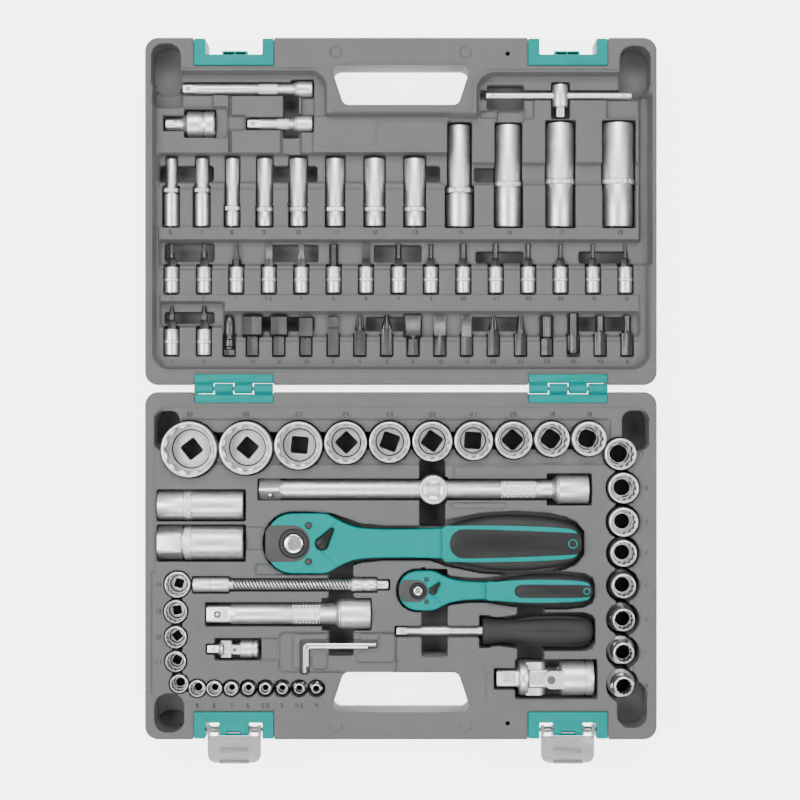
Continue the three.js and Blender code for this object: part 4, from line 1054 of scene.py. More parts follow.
# Adapter that rides on the 250 mm extension: a disc with a square recess on top and a drive square below.
adapter_steps = [(shrunk(squared(SQUARE_HALF, 0.1, DRIVE_CORNER), 0.9), 7.0),
                 (squared(SQUARE_HALF, 0.1, DRIVE_CORNER), 8.2),
                 (squared(SQUARE_HALF, 0.1, DRIVE_CORNER), 20.4), (9.6, 21.0), (10.7, 21.5), (11.0, 22.4),
                 (11.0, 25.5), (10.7, 25.8), (10.7, 26.6), (11.0, 26.9), (11.0, 46.9), (10.7, 47.8),
                 (10.0, 48.35), (9.3, 48.5), (7.1, 48.5), (squared(4.95, 0.06, 0.94), 47.6),
                 (squared(4.8, 0.06, 0.94), 47.0), (squared(4.8, 0.06, 0.94), 41.4), ]
lying("three_way_adapter_look", "three_way_adapter", loft(adapter_steps, 72), (24.5, -76.2, 0), along="z",
      replaces=["three_way_adapter"])


def spark_socket(radius, collar, length, hex_end):
    """A long socket with a knurled collar: the drive end first, hexagonal outside where a spanner fits it."""
    hole = squared(6.5, 0.2, RECESS_CORNER)
    bore = radius - 2.6
    steps = [(hole, 16.0), (hole, 1.6), (8.6, 0.0), (radius - 1.2, 0.0), (radius - 0.4, 0.35), (radius, 1.1)]
    if hex_end:
        flats = both(hexagonal(radius * 0.9, QUARTER), radius)
        steps = steps[:3] + [(shrunk(flats, 1.1), 0.0), (shrunk(flats, 0.3), 0.5), (flats, 1.3),
                             (flats, collar - 2.0), (shrunk(flats, 1.4), collar - 1.2),
                             (radius * 0.84, collar - 0.9), (radius * 0.84, collar + 0.2),
                             (radius + 0.3, collar + 0.5)]
    else:
        steps += [(radius, collar - 0.5), (radius + 0.35, collar)]
    rim = radius + 0.4
    steps += knurl(rim, collar + 0.6, collar + 5.2, 0.3, 24, 3)
    body = radius if not hex_end else radius + 0.05
    steps += [(rim, collar + 5.6), (body, collar + 5.9), (body, length - 1.1), (body - 0.4, length - 0.35),
              (body - 1.0, length), (bore + 1.3, length), (hexagonal(bore * 0.9), length - 1.4),
              (hexagonal(bore * 0.9), 22.0)]
    return loft(steps, 96)


lying("spark_plug_socket_16mm_look", "spark_plug_socket_16mm", spark_socket(11.15, 20.2, 65, False),
      (-184, -88.2, 35), replaces=["spark_plug_socket_16mm"])
lying("spark_plug_socket_21mm_look", "spark_plug_socket_21mm", spark_socket(12.9, 20.2, 65, True),
      (-184, -116.5, 35), replaces=["spark_plug_socket_21mm"])


# Spinner handle: a steel shaft with a drive square, and a waisted plastic grip with flutes.
side = squared(SMALL_SQUARE_HALF, 0.0, DRIVE_CORNER)
shaft_steps = drive_square(SMALL_SQUARE_HALF, 8.6) + [
    (both(side, 3.75), 8.4), (3.4, 9.2), (3.75, 10.4), (3.75, 66.0), (3.2, 66.4),
]
driver_shaft_shape = loft(shaft_steps, 48).join(ball(0.95), at_detent(SMALL_SQUARE_HALF, 4.4, QUARTER, 0.95))
lying("driver_shaft_look", "driver", driver_shaft_shape, (-3.8, -183.5, 35), replaces=["driver_shaft"],
      turn=QUARTER)


def fluted(radius, depth):
    """A round grip with six shallow flutes."""
    return lambda angle: radius - depth * max(0.0, math.cos(6 * angle)) ** 2


GRIP_PROFILE = [(0.0, 9.6, 0), (0.5, 10.2, 0), (1.3, 10.5, 0), (3.0, 10.45, 0), (6.0, 10.1, 0),
                (9.0, 9.75, 0), (14, 9.3, 0), (19, 9.1, 0.1), (24, 9.3, 0.3), (28, 9.8, 0.6), (33, 10.7, 0.9),
                (39, 11.6, 1.1), (46, 12.2, 1.35), (54, 12.35, 1.35), (62, 12.2, 1.3), (68, 11.8, 1.1),
                (73, 11.1, 0.7), (77.5, 10.1, 0.2), (80.5, 8.8, 0), (82.6, 7.0, 0), (83.6, 4.8, 0),
                (83.9, 2.4, 0)]
grip_steps = [(fluted(r, d) if d else r, 65.5 + at) for at, r, d in GRIP_PROFILE]
lying("driver_handle_look", "driver", loft(grip_steps, 96), (-3.8, -183.5, 35), RUBBER,
      ["driver_handle"], sharp=40)


def fork(shape, start, end, width, height, pin_radius, tilt):
    """Two arms of a yoke from start to end along the tool, apart by width, round about their pin."""
    thick = (height - width) / 2
    for s in (1, -1):
        points = []
        faces = []
        outline = [(start - 1.5, pin_radius * 1.0), (end - pin_radius, pin_radius * 1.0)]
        rounded = [(end - pin_radius + pin_radius * math.sin(a), pin_radius * math.cos(a))
                   for a in [math.pi * k / 12 for k in range(1, 12)]]
        loop = outline + rounded + [(end - pin_radius, -pin_radius), (start - 1.5, -pin_radius)]
        count = len(loop)
        for inset, depth in ((0.35, 0.0), (0.0, 0.35), (0.0, thick - 0.35), (0.35, thick)):
            for along, across in loop:
                scale = 1 - inset / pin_radius
                points.append((s * (width / 2 + depth), across * scale, end - pin_radius +
                               (along - end + pin_radius) * (scale if along > end - pin_radius else 1)))
        for j in range(3):
            for i in range(count):
                k = (i + 1) % count
                quad = (j * count + i, j * count + k, (j + 1) * count + k, (j + 1) * count + i)
                faces.append(quad if s > 0 else tuple(reversed(quad)))
        bottom = tuple(reversed(range(count)))
        top = tuple(3 * count + i for i in range(count))
        faces += [bottom, top] if s > 0 else [tuple(reversed(bottom)), tuple(reversed(top))]
        shape.add(points, faces, matrix=Matrix.Rotation(tilt, 4, "Z"))


def pin(radius, half, height, tilt, mark=1):
    """A cross pin through the arms, its rounded ends a little proud."""
    steps = [(radius - 0.35, -half), (radius, -half + 0.35), (radius, half - 0.35), (radius - 0.35, half)]
    matrix = Matrix.Rotation(tilt, 4,
                             "Z") @ Matrix.Translation((0, 0, height)) @ Matrix.Rotation(QUARTER, 4, "Y")
    return loft(steps, 28, mark=mark), matrix


def universal_joint(prefix, at, r, square_half, ring_end, pins, yoke, length, drive):
    """Drive fork, cross block and socket fork. The first pin lies across the case, the second is upright."""
    x, y, z = at
    side = squared(square_half, 0.0, DRIVE_CORNER)
    steps = drive_square(square_half, drive) + [(both(side, square_half * 1.25), drive - 0.6),
                                                (both(shrunk(side, -1.0), r), drive + 1.2),
                                                (r - 1.0, drive + 1.8), (r - 0.3, drive + 2.4),
                                                (r, drive + 3.2), (r, ring_end - 1.0), (r - 0.6, ring_end)]
    first = loft(steps, 64)
    fork(first, ring_end, pins[0] + r * 0.5, r * 1.02, r * 1.92, r * 0.52, QUARTER)
    first.join(*pin(r * 0.24, r * 0.985, pins[0], QUARTER))
    detent = square_half * 0.3
    first.join(ball(detent), at_detent(square_half, drive * 0.5, math.pi, detent))
    show(prefix + "_drive_fork_look", first, placed(x, y, z, 0, "x"), prefix, [CHROME, POLISHED],
         [prefix + "_drive_fork"], 32)

    half = r * 0.5
    low, high = pins[0] - half * 0.92, pins[1] + half * 0.92
    side = squared(half, 0.0, RECESS_CORNER)
    block = loft([(shrunk(side, 0.5), low), (side, low + 0.5), (side, high - 0.5), (shrunk(side, 0.5), high)],
                 48)
    show(prefix + "_cross_look", block, placed(x, y, z, 0, "x"), prefix + "_cross", CHROME,
         CROSS_NODES[prefix], 32)

    hole = squared(square_half + 0.15, 0.0, RECESS_CORNER)
    groove = yoke + (length - yoke) * 0.74
    steps = [(r - 0.6, yoke - 0.4), (r, yoke + 0.5), (r, groove - 0.9), (r - 0.7, groove - 0.4),
             (r - 0.7, groove + 0.4), (r, groove + 0.9), (r, length - 1.0), (r - 0.3, length - 0.3),
             (r - 1.0, length), (square_half * 1.38, length), (shrunk(hole, -0.1), length - 1.0),
             (hole, length - 1.8), (hole, length - (length - yoke) * 0.62)]
    fork_shape = Shape()
    fork(fork_shape, -yoke, -(pins[1] - r * 0.5), r * 1.02, r * 1.92, r * 0.52, 0.0)
    second = loft(steps, 64).join(fork_shape, Matrix.Rotation(math.pi, 4, "Y"))
    second.join(*pin(r * 0.24, r * 0.985, pins[1], 0.0))
    show(prefix + "_socket_fork_look", second, placed(x, y, z, 0, "x"), prefix + "_socket_fork",
         [CHROME, STEEL], [prefix + "_socket_fork"], 32)


CROSS_NODES = {
    prefix: [node for node in frame["nodes"] if node.startswith(prefix + "_cross")]
    for prefix in ("large_universal_joint", "small_universal_joint")
}
universal_joint("large_universal_joint", (72.3, -219.3, 34), 13.25, SQUARE_HALF, 23.7, (30.6, 40.9), 49.1,
                73.3, 15.2)
universal_joint("small_universal_joint", (-146.7, -196.8, 38), 6.8, SMALL_SQUARE_HALF, 12.4, (16.0, 21.3),
                25.5, 38.5, 8.2)


def bar_along(points, radius_of, sides):
    """A bar of even section swept through points of one height."""
    count = len(points)
    rows = []
    for j, (x, y, z) in enumerate(points):
        ax, ay, _ = points[max(0, j - 1)]
        bx, by, _ = points[min(count - 1, j + 1)]
        length = math.hypot(bx - ax, by - ay)
        nx, ny = -(by - ay) / length, (bx - ax) / length
        for i in range(sides):
            a = 2 * math.pi * i / sides
            r = radius_of(a)
            rows.append((x + nx * r * math.cos(a), y + ny * r * math.cos(a), z + r * math.sin(a)))
    faces = []
    for j in range(count - 1):
        for i in range(sides):
            k = (i + 1) % sides
            faces.append((j * sides + i, j * sides + k, (j + 1) * sides + k, (j + 1) * sides + i))
    faces.append(tuple(reversed(range(sides))))
    faces.append(tuple((count - 1) * sides + i for i in range(sides)))
    return Shape().add(rows, faces)


def hex_key(across, corner, long_arm, short_arm, z, bend):
    """An L-shaped hexagon bar: the long arm runs along +X and the short one along -Y from the corner."""
    cx, cy = corner
    points = [(cx, cy - short_arm, z), (cx, cy - short_arm + 0.4, z)]
    middle = (cx + bend, cy - bend)
    for k in range(9):
        a = math.pi - QUARTER * k / 8
        points.append((middle[0] + bend * math.cos(a), middle[1] + bend * math.sin(a), z))
    points += [(cx + long_arm - 0.4, cy, z), (cx + long_arm, cy, z)]
    return bar_along(points, hexagonal(across / 2, math.pi / 6), 36)


key_z = centre_of("hex_key")[2]
keys = Shape()
for across, corner, long_arm, short_arm, drop in ((2.2, (-72.7, -193.4), 53.8, 21.0, -0.9),
                                                  (1.8, (-70.6, -195.5), 45.6, 14.1, -0.8),
                                                  (1.6, (-71.8, -194.6), 43.6, 12.5, 1.0)):
    keys.join(hex_key(across, corner, long_arm, short_arm, key_z - drop, across * 1.3))
show("hex_keys", keys, placed(), "hex_key", CHROME, ["hex_key"])


# ---------------------------------------------------------------- ratchets


def smooth_outline(stations, cuts=8):
    """A closed outline, symmetric about the X axis, through (x, half width) stations from left to right."""
    upper = list(stations)
    lower = [(x, -y) for x, y in reversed(stations)]
    control = [p for i, p in enumerate(upper + lower) if abs(p[1]) > 1e-6 or i < len(upper)]
    count = len(control)
    points = []
    for i in range(count):
        p0, p1, p2, p3 = (Vector(control[(i + k) % count]) for k in (-1, 0, 1, 2))
        for j in range(cuts):
            t = j / cuts
            points.append(0.5 * ((2 * p1) + (p2 - p0) * t + (2 * p0 - 5 * p1 + 4 * p2 - p3) * t * t
                                 + (3 * p1 - p0 - 3 * p2 + p3) * t ** 3))
    return [(p.x, p.y) for p in points]


def inset(points, by):
    """An outline drawn in by a distance. The outline runs clockwise seen from above."""
    moved = []
    count = len(points)
    for i, (x, y) in enumerate(points):
        ax, ay = points[i - 1]
        bx, by_ = points[(i + 1) % count]
        length = math.hypot(bx - ax, by_ - ay) or 1.0
        moved.append((x + (by_ - ay) / length * by, y - (bx - ax) / length * by))
    return moved


def slab(outline, profile, mark=0):
    """A body from one outline, drawn in by a distance at each height: (inset, height), bottom first."""
    count = len(outline)
    points = []
    faces = []
    for drawn, height in profile:
        points += [(x, y, height) for x, y in (inset(outline, drawn) if drawn else outline)]
    for j in range(len(profile) - 1):
        for i in range(count):
            k = (i + 1) % count
            faces.append((j * count + k, j * count + i, (j + 1) * count + i, (j + 1) * count + k))
    faces.append(tuple(range(count)))
    faces.append(tuple(reversed([(len(profile) - 1) * count + i for i in range(count)])))
    return Shape().add(points, faces, mark)


def rounded_profile(low, high, edge, steps=5):
    """Heights of a slab whose edges are rounded by edge."""
    lower = [(edge * (1 - math.sin(a)), low + edge * (1 - math.cos(a)))
             for a in [QUARTER * k / steps for k in range(steps + 1)]]
    upper = [(edge * (1 - math.sin(a)), high - edge * (1 - math.cos(a)))
             for a in [QUARTER * (steps - k) / steps for k in range(steps + 1)]]
    return lower + upper


def half_round_plate(left, right_centre, half, sides=24):
    """Left end square with cut corners, right end round."""
    arc = [(right_centre + half * math.sin(a), half * math.cos(a))
           for a in [math.pi * k / sides for k in range(1, sides)]]
    return [(left, half - 4.5), (left + 2.2, half - 1.4), (left + 3.6, half), (right_centre, half)] + arc + [
        (right_centre, -half), (left + 3.6, -half), (left + 2.2, -half + 1.4), (left, -half + 4.5)]


def teardrop(length, wide, narrow, sides=16):
    """A lever seen from above: round about its pivot, tapering to a small round tip."""
    tangent = math.acos((wide - narrow) / length)
    pivot = [(wide * math.cos(a), wide * math.sin(a))
             for a in [tangent + (2 * math.pi - 2 * tangent) * k / (sides * 2) for k in range(sides * 2 + 1)]]
    tip = [(length + narrow * math.cos(a), narrow * math.sin(a))
           for a in [-tangent + 2 * tangent * k / sides for k in range(sides + 1)]]
    return list(reversed(pivot + tip))


def screw(radius, at, top):
    """A countersunk screw with a six-lobed recess, in a black well."""
    def lobed(angle):
        return radius * 0.5 * (1 + 0.16 * math.cos(6 * angle))
    well = loft([(radius * 1.42, top - 0.5), (radius * 1.42, top + 0.05)], 36, mark=1)
    head = loft([(radius * 1.1, top - 0.2), (radius * 1.1, top + 0.25), (radius * 0.95, top + 0.4),
                 (lobed, top + 0.4), (lambda a: lobed(a) * 0.95, top + 0.12)], 36, mark=3)
    return Shape().join(well.join(head), Matrix.Translation((*at, 0)))


def grip_body(stations, low, high):
    """The soft grip's rounded body."""
    height = high - low
    middle = (high + low) / 2
    profile = [(2.6, low), (1.2, low + 0.9), (0.35, low + 0.22 * height), (0.0, middle - 0.4),
               (0.35, middle + 0.2 * height), (1.5, high - 2.4), (2.8, high - 1.0), (4.4, high - 0.25),
               (6.0, high)]
    return slab(smooth_outline(stations), profile)


def seam(start, end, top, half=0.11):
    """A fine parting line on a head's top."""
    along = (Vector(end) - Vector(start)).normalized()
    across = Vector((-along.y, along.x)) * half
    outline = [Vector(start) + across, Vector(end) + across, Vector(end) - across, Vector(start) - across]
    return slab([tuple(p) for p in outline], [(0.0, top - 0.3), (0.0, top + 0.03)], 1)


def ratchet(prefix, at, top, bottom, neck_stations, plate_size, drive_radius, button_radius, screws, lever,
            grip, square, square_length):
    x, y = at
    head = slab(smooth_outline(neck_stations, 7), rounded_profile(bottom, top, 1.3))
    left, centre, half = plate_size
    plate = half_round_plate(left, centre, half)
    head.join(slab(plate, [(0, top - 1.0), (0, top + 0.12), (0.25, top + 0.3)], 3))
    for place in screws:
        head.join(screw(lever["screw"], place, top))
    # a black disc under the lever, round so that it suits every angle, whose thin rim round the pivot is
    # painted shadow of the lever, and two fine seams that run from it to the neck
    px, angle = lever["x"], math.radians(lever["angle"])
    lever_shadow = loft([(lever["pivot"] * 1.1, top - 0.5), (lever["pivot"] * 1.1, top + 0.03)], 36, mark=1)
    head.join(lever_shadow, Matrix.Translation((px, 0, 0)))
    (sx, sy), (ex, ey) = lever["seam"]
    for side in (-1, 1):
        head.join(seam((sx, side * sy), (ex, side * ey), top))
    body_node = prefix + "_body"
    show(body_node + "_look", head, placed(x, y, 0), prefix, [TEAL_PAINT, DARK, STEEL, PLATE],
         [body_node], 40)

    grip_low, grip_high = grip["low"], grip["high"]
    shape = grip_body(grip["stations"], grip_low, grip_high)
    stripe = smooth_outline(grip["stripe"])
    shape.join(slab(stripe, [(0.4, grip_high - 3.0), (0.0, grip_high - 1.0), (0.0, grip_high + 0.1),
                             (0.35, grip_high + 0.35)], 1))
    panel = smooth_outline(grip["inlay"])
    shape.join(slab(panel, [(0.0, grip_high - 1), (0.0, grip_high + 0.42), (0.3, grip_high + 0.62)], 2))
    hx, hr = grip["hole"]
    ring_shape = loft([(hr + 0.9, grip_high - 1), (hr + 0.9, grip_high + 0.66), (hr + 0.35, grip_high + 0.72),
                       (hr, grip_high + 0.5), (hr, grip_high - 4.0)], 40, mark=1)
    shape.join(ring_shape, Matrix.Translation((hx, 0, 0)))
    node = prefix + "_grip"
    show(node + "_look", shape, placed(x, y, 0), prefix, [RUBBER, TEAL_PAINT, INLAY], [node],
         40)

    r = drive_radius
    rb = button_radius
    shank = loft([(shrunk(squared(square, 0.0, DRIVE_CORNER), 0.9), bottom - square_length),
                  (squared(square, 0.0, DRIVE_CORNER), bottom - square_length + 1.0),
                  (squared(square, 0.0, DRIVE_CORNER), bottom - 0.2)], 72, mark=2)
    wheel = loft([(r * 0.8, bottom - 0.4), (r, bottom), (r, top + 0.2), (r - 0.3, top + 0.5),
                  (r - 0.9, top + 0.56), (rb + 1.0, top + 0.56), (rb + 0.8, top + 0.35),
                  (rb + 0.75, top - 1.6)], 72, mark=0)
    groove = loft([(r + 0.85, top + 0.02), (r + 0.85, top + 0.34), (r + 0.04, top + 0.34)], 72, mark=1)
    well = loft([(rb + 0.72, top - 1.55), (rb + 0.72, top - 1.25), (rb * 0.9, top - 1.25)], 72, mark=1)
    node = prefix + "_drive"
    wheel.join(shank).join(groove).join(well)
    wheel.join(ball(square * 0.3), Matrix.Translation((square * 0.9, 0, bottom - square_length * 0.5)), 2)
    show(node + "_look", wheel, placed(x, y, 0), node, [WHEEL, DARK, CHROME], [node], 34)

    node = prefix + "_release_button"
    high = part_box(node)[1][2] / MM
    button = loft([(rb, top - 4.0), (rb, high - 0.9), (rb - 0.25, high - 0.35), (rb - 0.9, high),
                   (rb * 0.5, high + 0.05), (0.3, high + 0.06)], 56)
    show(node + "_look", button, placed(x, y, 0), node, POLISHED, [node], 50)

    node = prefix + "_direction_lever"
    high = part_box(node)[1][2] / MM
    shape = slab(teardrop(lever["length"], lever["pivot"], lever["tip"]),
                 [(0.0, top + 0.06), (0.0, top + 1.2), (0.5, high - 0.9), (1.3, high - 0.35)])
    ridge = slab(teardrop(lever["length"] - 1.0, lever["pivot"] * 0.42, lever["tip"] * 0.45),
                 [(0.0, high - 0.6), (0.1, high - 0.1), (0.3, high)])
    lever_shape = Shape().join(shape.join(ridge), Matrix.Rotation(angle, 4, "Z"))
    show(node + "_look", lever_shape, placed(x + px, y, 0), node, DARK, [node], 40)


ratchet(
    "large_ratchet", (-80.7, -116.6), 47, 30,
    [(-21.4, 0), (-20.4, 7.5), (-17.2, 14.2), (-12.0, 19.2), (-5.0, 22.0), (4, 22.5), (14, 22.5), (22, 22.4),
     (26.5, 21.4), (33, 17.8), (40, 14.4), (48, 12.0), (60, 10.9), (80, 10.6), (100, 10.9), (113.5, 11.4),
     (116.5, 11.3), (117.5, 0)],
    (-21.2, -1.2, 13.8), 10.5, 7.3, [(11.2, 13.6), (11.2, -13.6)],
    {"x": 21.2, "angle": 54, "length": 13.0, "pivot": 4.9, "tip": 1.6, "screw": 1.95,
     "seam": ((16.2, 1.8), (31.6, 16.0))},
    {"low": 26.6, "high": 49.4, "hole": (209.8, 2.6),
     "stations": [(110.4, 0), (111.5, 10.6), (118, 13.6), (130, 17.2), (146, 20.0), (162, 21.0), (180, 20.4),
                  (196, 18.4), (207, 15.6), (213.5, 12.0), (216.4, 6.6), (217, 0)],
     "stripe": [(112, 0), (112.5, 12.2), (124, 13.6), (150, 13.7), (180, 13.0), (204, 11.6), (211.6, 9.6),
                (213.4, 6),
                (213.8, 0)],
     "inlay": [(117.4, 0), (118.6, 5.4), (122.2, 9.2), (128, 10.9), (150, 10.6), (180, 9.6), (206, 8.4),
               (213, 7.6),
               (215.6, 5.0), (216.4, 0)]},
    SQUARE_HALF, 16)
ratchet(
    "small_ratchet", (12.8, -152.3), 46, 35,
    [(-14.4, 0), (-13.7, 4.8), (-11.4, 9.4), (-7.4, 12.8), (-2.4, 14.5), (4, 14.9), (10, 14.8), (14, 13.8),
     (19, 11.2), (25, 8.9), (33, 7.3), (44, 6.5), (52, 6.4), (56, 6.8), (58.5, 0)],
    (-14.2, -0.6, 8.3), 5.5, 3.6, [(6.4, 8.6), (6.4, -8.1)],
    {"x": 11.2, "angle": 50, "length": 7.5, "pivot": 2.9, "tip": 1.0, "screw": 1.25,
     "seam": ((8.4, 1.0), (18.0, 9.8))},
    {"low": 31.6, "high": 48.6, "hole": (126.8, 1.7),
     "stations": [(50.4, 0), (51.2, 5.4), (56, 6.8), (64, 8.6), (74, 10.7), (88, 12.3), (102, 12.4),
                  (114, 11.6),
                  (123, 10.1), (128.6, 7.8), (131.1, 4.2), (131.6, 0)],
     "stripe": [(51.5, 0), (51.8, 6.3), (60, 7.1), (72, 8.1), (88, 8.6), (106, 8.4), (120, 7.7), (127.6, 6.2),
                (129.6, 3.4), (130, 0)],
     "inlay": [(72.4, 0), (73.2, 2.8), (75.4, 4.4), (79, 5.0), (92, 5.1), (108, 5.0), (122, 4.8),
               (128.2, 4.2),
               (130.4, 2.8), (131, 0)]},
    SMALL_SQUARE_HALF, 8)


# ---------------------------------------------------------------- lid tools

SIX = math.pi / 3


def lengthwise(name, body, shape, x, y, z, materials=CHROME, replaces=(), turn=0.0):
    """A tool whose own Z runs along the case's +Y."""
    lying(name, body, shape, (x, y, z), materials, replaces=replaces, turn=turn, along="y")


def collared_socket(length, top, low, collar, square_half):
    """A long socket from its drive end: lower body, knurled collar and nose, open at both ends."""
    hole = squared(square_half, 0.3, RECESS_CORNER)
    rim = max(top, low) + 0.75
    wall = top - 1.0
    neck = min(top, low) - 0.2
    height = 1.7 if rim < 9 else 1.9
    teeth = round(rim * 3.4)

    def knurled(angle):
        return rim - 0.28 * max(0.0, math.cos(teeth * angle)) ** 0.5
    steps = [(hole, length * 0.24), (hole, 0.9), (square_half * 1.34, 0.0), (low - 0.7, 0.0),
             (low - 0.2, 0.3), (low, 0.9), (low, collar - height - 1.2), (neck, collar - height - 0.7),
             (neck, collar - height - 0.2), (rim - 0.45, collar - height), (knurled, collar - height + 0.35),
             (knurled, collar + height - 0.35), (rim - 0.45, collar + height),
             (top + 0.05, collar + height + 0.35), (top, collar + height + 1.2), (top, length - 0.9),
             (top - 0.25, length - 0.25), (top - 0.8, length), (wall + 0.1, length),
             (hexagonal(wall * 0.87), length - 0.9), (hexagonal(wall * 0.87), length * 0.62)]
    return loft(steps, 96)


QUARTER_AXIS = 27.85
HALF_AXIS = 23.5
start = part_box("deep_quarter_inch_sockets")[0][1] / MM - HINGE_Y
for i, (x, top, low, collar) in enumerate(DEEP_QUARTER):
    shape = collared_socket(51.6, top, low, collar - start, 3.25)
    lengthwise(f"deep_quarter_socket_{i + 1}", "deep_quarter_inch_sockets", shape, x, start, QUARTER_AXIS,
               replaces=["deep_quarter_inch_sockets"])
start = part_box("deep_half_inch_sockets")[0][1] / MM - HINGE_Y
for i, (x, top, low, collar, far) in enumerate(DEEP_HALF):
    shape = collared_socket(far - start, top, low, collar - start, 6.5)
    lengthwise(f"deep_half_socket_{i + 1}", "deep_half_inch_sockets", shape, x, start, HALF_AXIS,
               replaces=["deep_half_inch_sockets"])


def bit_adapter_shape():
    """A half inch square recess in a wide body with a groove, a cone, and a ribbed nose for bits."""

    def ribbed(angle):
        return 4.75 - 0.35 * max(0.0, math.cos(9 * angle)) ** 2
    hole = squared(6.5, 0.0, RECESS_CORNER)
    steps = [(hexagonal(4.0), 9.0), (hexagonal(4.0), 0.6), (4.35, 0.0), (4.6, 0.25), (4.75, 0.8), (4.75, 1.6),
             (ribbed, 1.9), (ribbed, 7.2), (4.75, 7.6), (5.0, 8.2), (5.05, 10.0), (5.4, 12.4), (6.4, 14.6),
             (8.0, 16.2), (9.5, 16.9), (10.0, 17.6), (10.05, 25.8), (9.8, 27.2), (9.35, 28.0), (9.35, 29.0),
             (9.8, 29.8), (10.0, 31.0), (10.0, 36.4), (9.7, 37.3), (9.0, 37.8), (8.7, 37.8),
             (shrunk(hole, -0.1), 36.8), (hole, 36.0), (hole, 22.0)]
    return loft(steps, 72)


lying("bit_adapter_look", "bit_adapter", bit_adapter_shape(), (-179.6, 201.7, 26), replaces=["bit_adapter"])

head_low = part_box("tbar_head")[0][1] / MM - HINGE_Y
tbar_x, tbar_z = centre_of("tbar_head")[0], centre_of("tbar_head")[2]
side = squared(SMALL_SQUARE_HALF, 0.0, DRIVE_CORNER)
tbar_steps = drive_square(SMALL_SQUARE_HALF, 7.4) + [(side, 7.3), (both(side, 3.9), 7.6), (5.0, 7.9),
                                                     (5.9, 8.3), (6.15, 9.0), (6.15, 23.8), (5.9, 24.7),
                                                     (5.2, 25.1)]
tbar_shape = loft(tbar_steps, 60).join(ball(0.95), at_detent(SMALL_SQUARE_HALF, 3.7, QUARTER, 0.95))
lengthwise("tbar_head_look", "tbar", tbar_shape, tbar_x, head_low, tbar_z, replaces=["tbar_head"],
           turn=QUARTER * 2)
rod_x, rod_y, rod_z, rod_length, _, _ = centre_of("tbar_rod")
half = rod_length / 2
rod_shape = loft([(2.3, -half), (2.7, -half + 0.25), (2.8, -half + 0.8), (2.8, half - 0.8),
                  (2.7, half - 0.25), (2.3, half)], 36)
for end in (-half + 5.4, half - 6.0):
    rod_shape.join(ball(1.0), Matrix.Rotation(-QUARTER * 2, 4, "Z") @ Matrix.Translation((2.35, 0, end)))
lying("tbar_rod_look", "tbar_rod", rod_shape, (rod_x, rod_y, rod_z), replaces=["tbar_rod"])


# ---------------------------------------------------------------- bits


def lobes(radius, count, depth, turn=0.0):
    """A star outline with rounded lobes."""
    return lambda angle: radius * (1 - depth * (0.5 - 0.5 * math.cos(count * (angle + turn))))


def cross_tip(radius, start, end, turn, ribs=0.0):
    """A cross-head tip that narrows to a blunt point."""
    steps = []
    for k in range(9):
        t = k / 8
        r = radius * (1 - t) ** 0.75 + 0.35 * radius * t
        depth = 0.12 + 0.5 * min(1.0, t * 2.2)

        def outline(angle, r=r, depth=depth):
            wave = abs(math.cos(2 * (angle + turn)))
            edge = ribs * max(0.0, math.cos(4 * (angle + turn) + math.pi)) ** 6
            return r * (1 - depth * (1 - wave ** 0.45) + edge)
        steps.append((outline, start + (end - start) * t))
    return steps


def blade(width, thick, root, start, end):
    """A flat blade seen on its edge: it widens to the root and thins towards the tip."""
    steps = []
    for k in range(9):
        t = k / 8
        half_thin = thick / 2 + (root - thick / 2) * (1 - t) ** 1.9
        half_wide = root + (width / 2 - root) * min(1.0, t * 2.6)

        def outline(angle, a=half_wide, b=half_thin):
            c, s = abs(math.cos(angle)), abs(math.sin(angle))
            return min(a / max(c, 1e-4), b / max(s, 1e-4))
        steps.append((outline, start + (end - start) * t))
    return steps


def bit_socket(tip):
    """A small socket with a knurled ring, and the bit that is pressed into it."""

    def ring_outline(angle):
        return 6.05 - 0.22 * max(0.0, math.cos(22 * angle)) ** 0.5
    hole = squared(3.25, 0.3, RECESS_CORNER)
    sleeve = loft([(hole, 7.0), (hole, 0.8), (4.3, 0.0), (4.9, 0.0), (5.35, 0.3), (5.5, 0.9), (5.5, 8.7),
                   (5.75, 9.0), (ring_outline, 9.2), (ring_outline, 10.9), (5.75, 11.1), (5.5, 11.4),
                   (5.5, 18.8), (5.35, 19.5), (4.9, 19.8), (3.6, 19.8), (3.5, 18.0)], 60)
    return sleeve.join(loft(tip, 60, mark=1))


ROOT = hexagonal(3.15, SIX / 2)
HEX_ROOT = [(ROOT, 18.2), (ROOT, 25.0), (shrunk(ROOT, 0.5), 26.0)]


def cross_bit(radius, ribs=0.0):
    return HEX_ROOT + [(radius * 0.9, 27.0)] + cross_tip(radius, 29.0, 37.4, 0.0, ribs)


def flat_bit(width, thick, on_edge):
    steps = HEX_ROOT[:2] + blade(width, thick, 2.9, 25.4, 37.2)
    if on_edge:
        return steps
    return [(lambda a, o=o: o(a + QUARTER), h) if callable(o) else (o, h) for o, h in steps]


def rod_bit(outline, end=37.2):
    return HEX_ROOT + [(shrunk(outline, -0.2), 26.6), (outline, 27.6), (outline, end - 0.4),
                       (shrunk(outline, 0.4), end)]


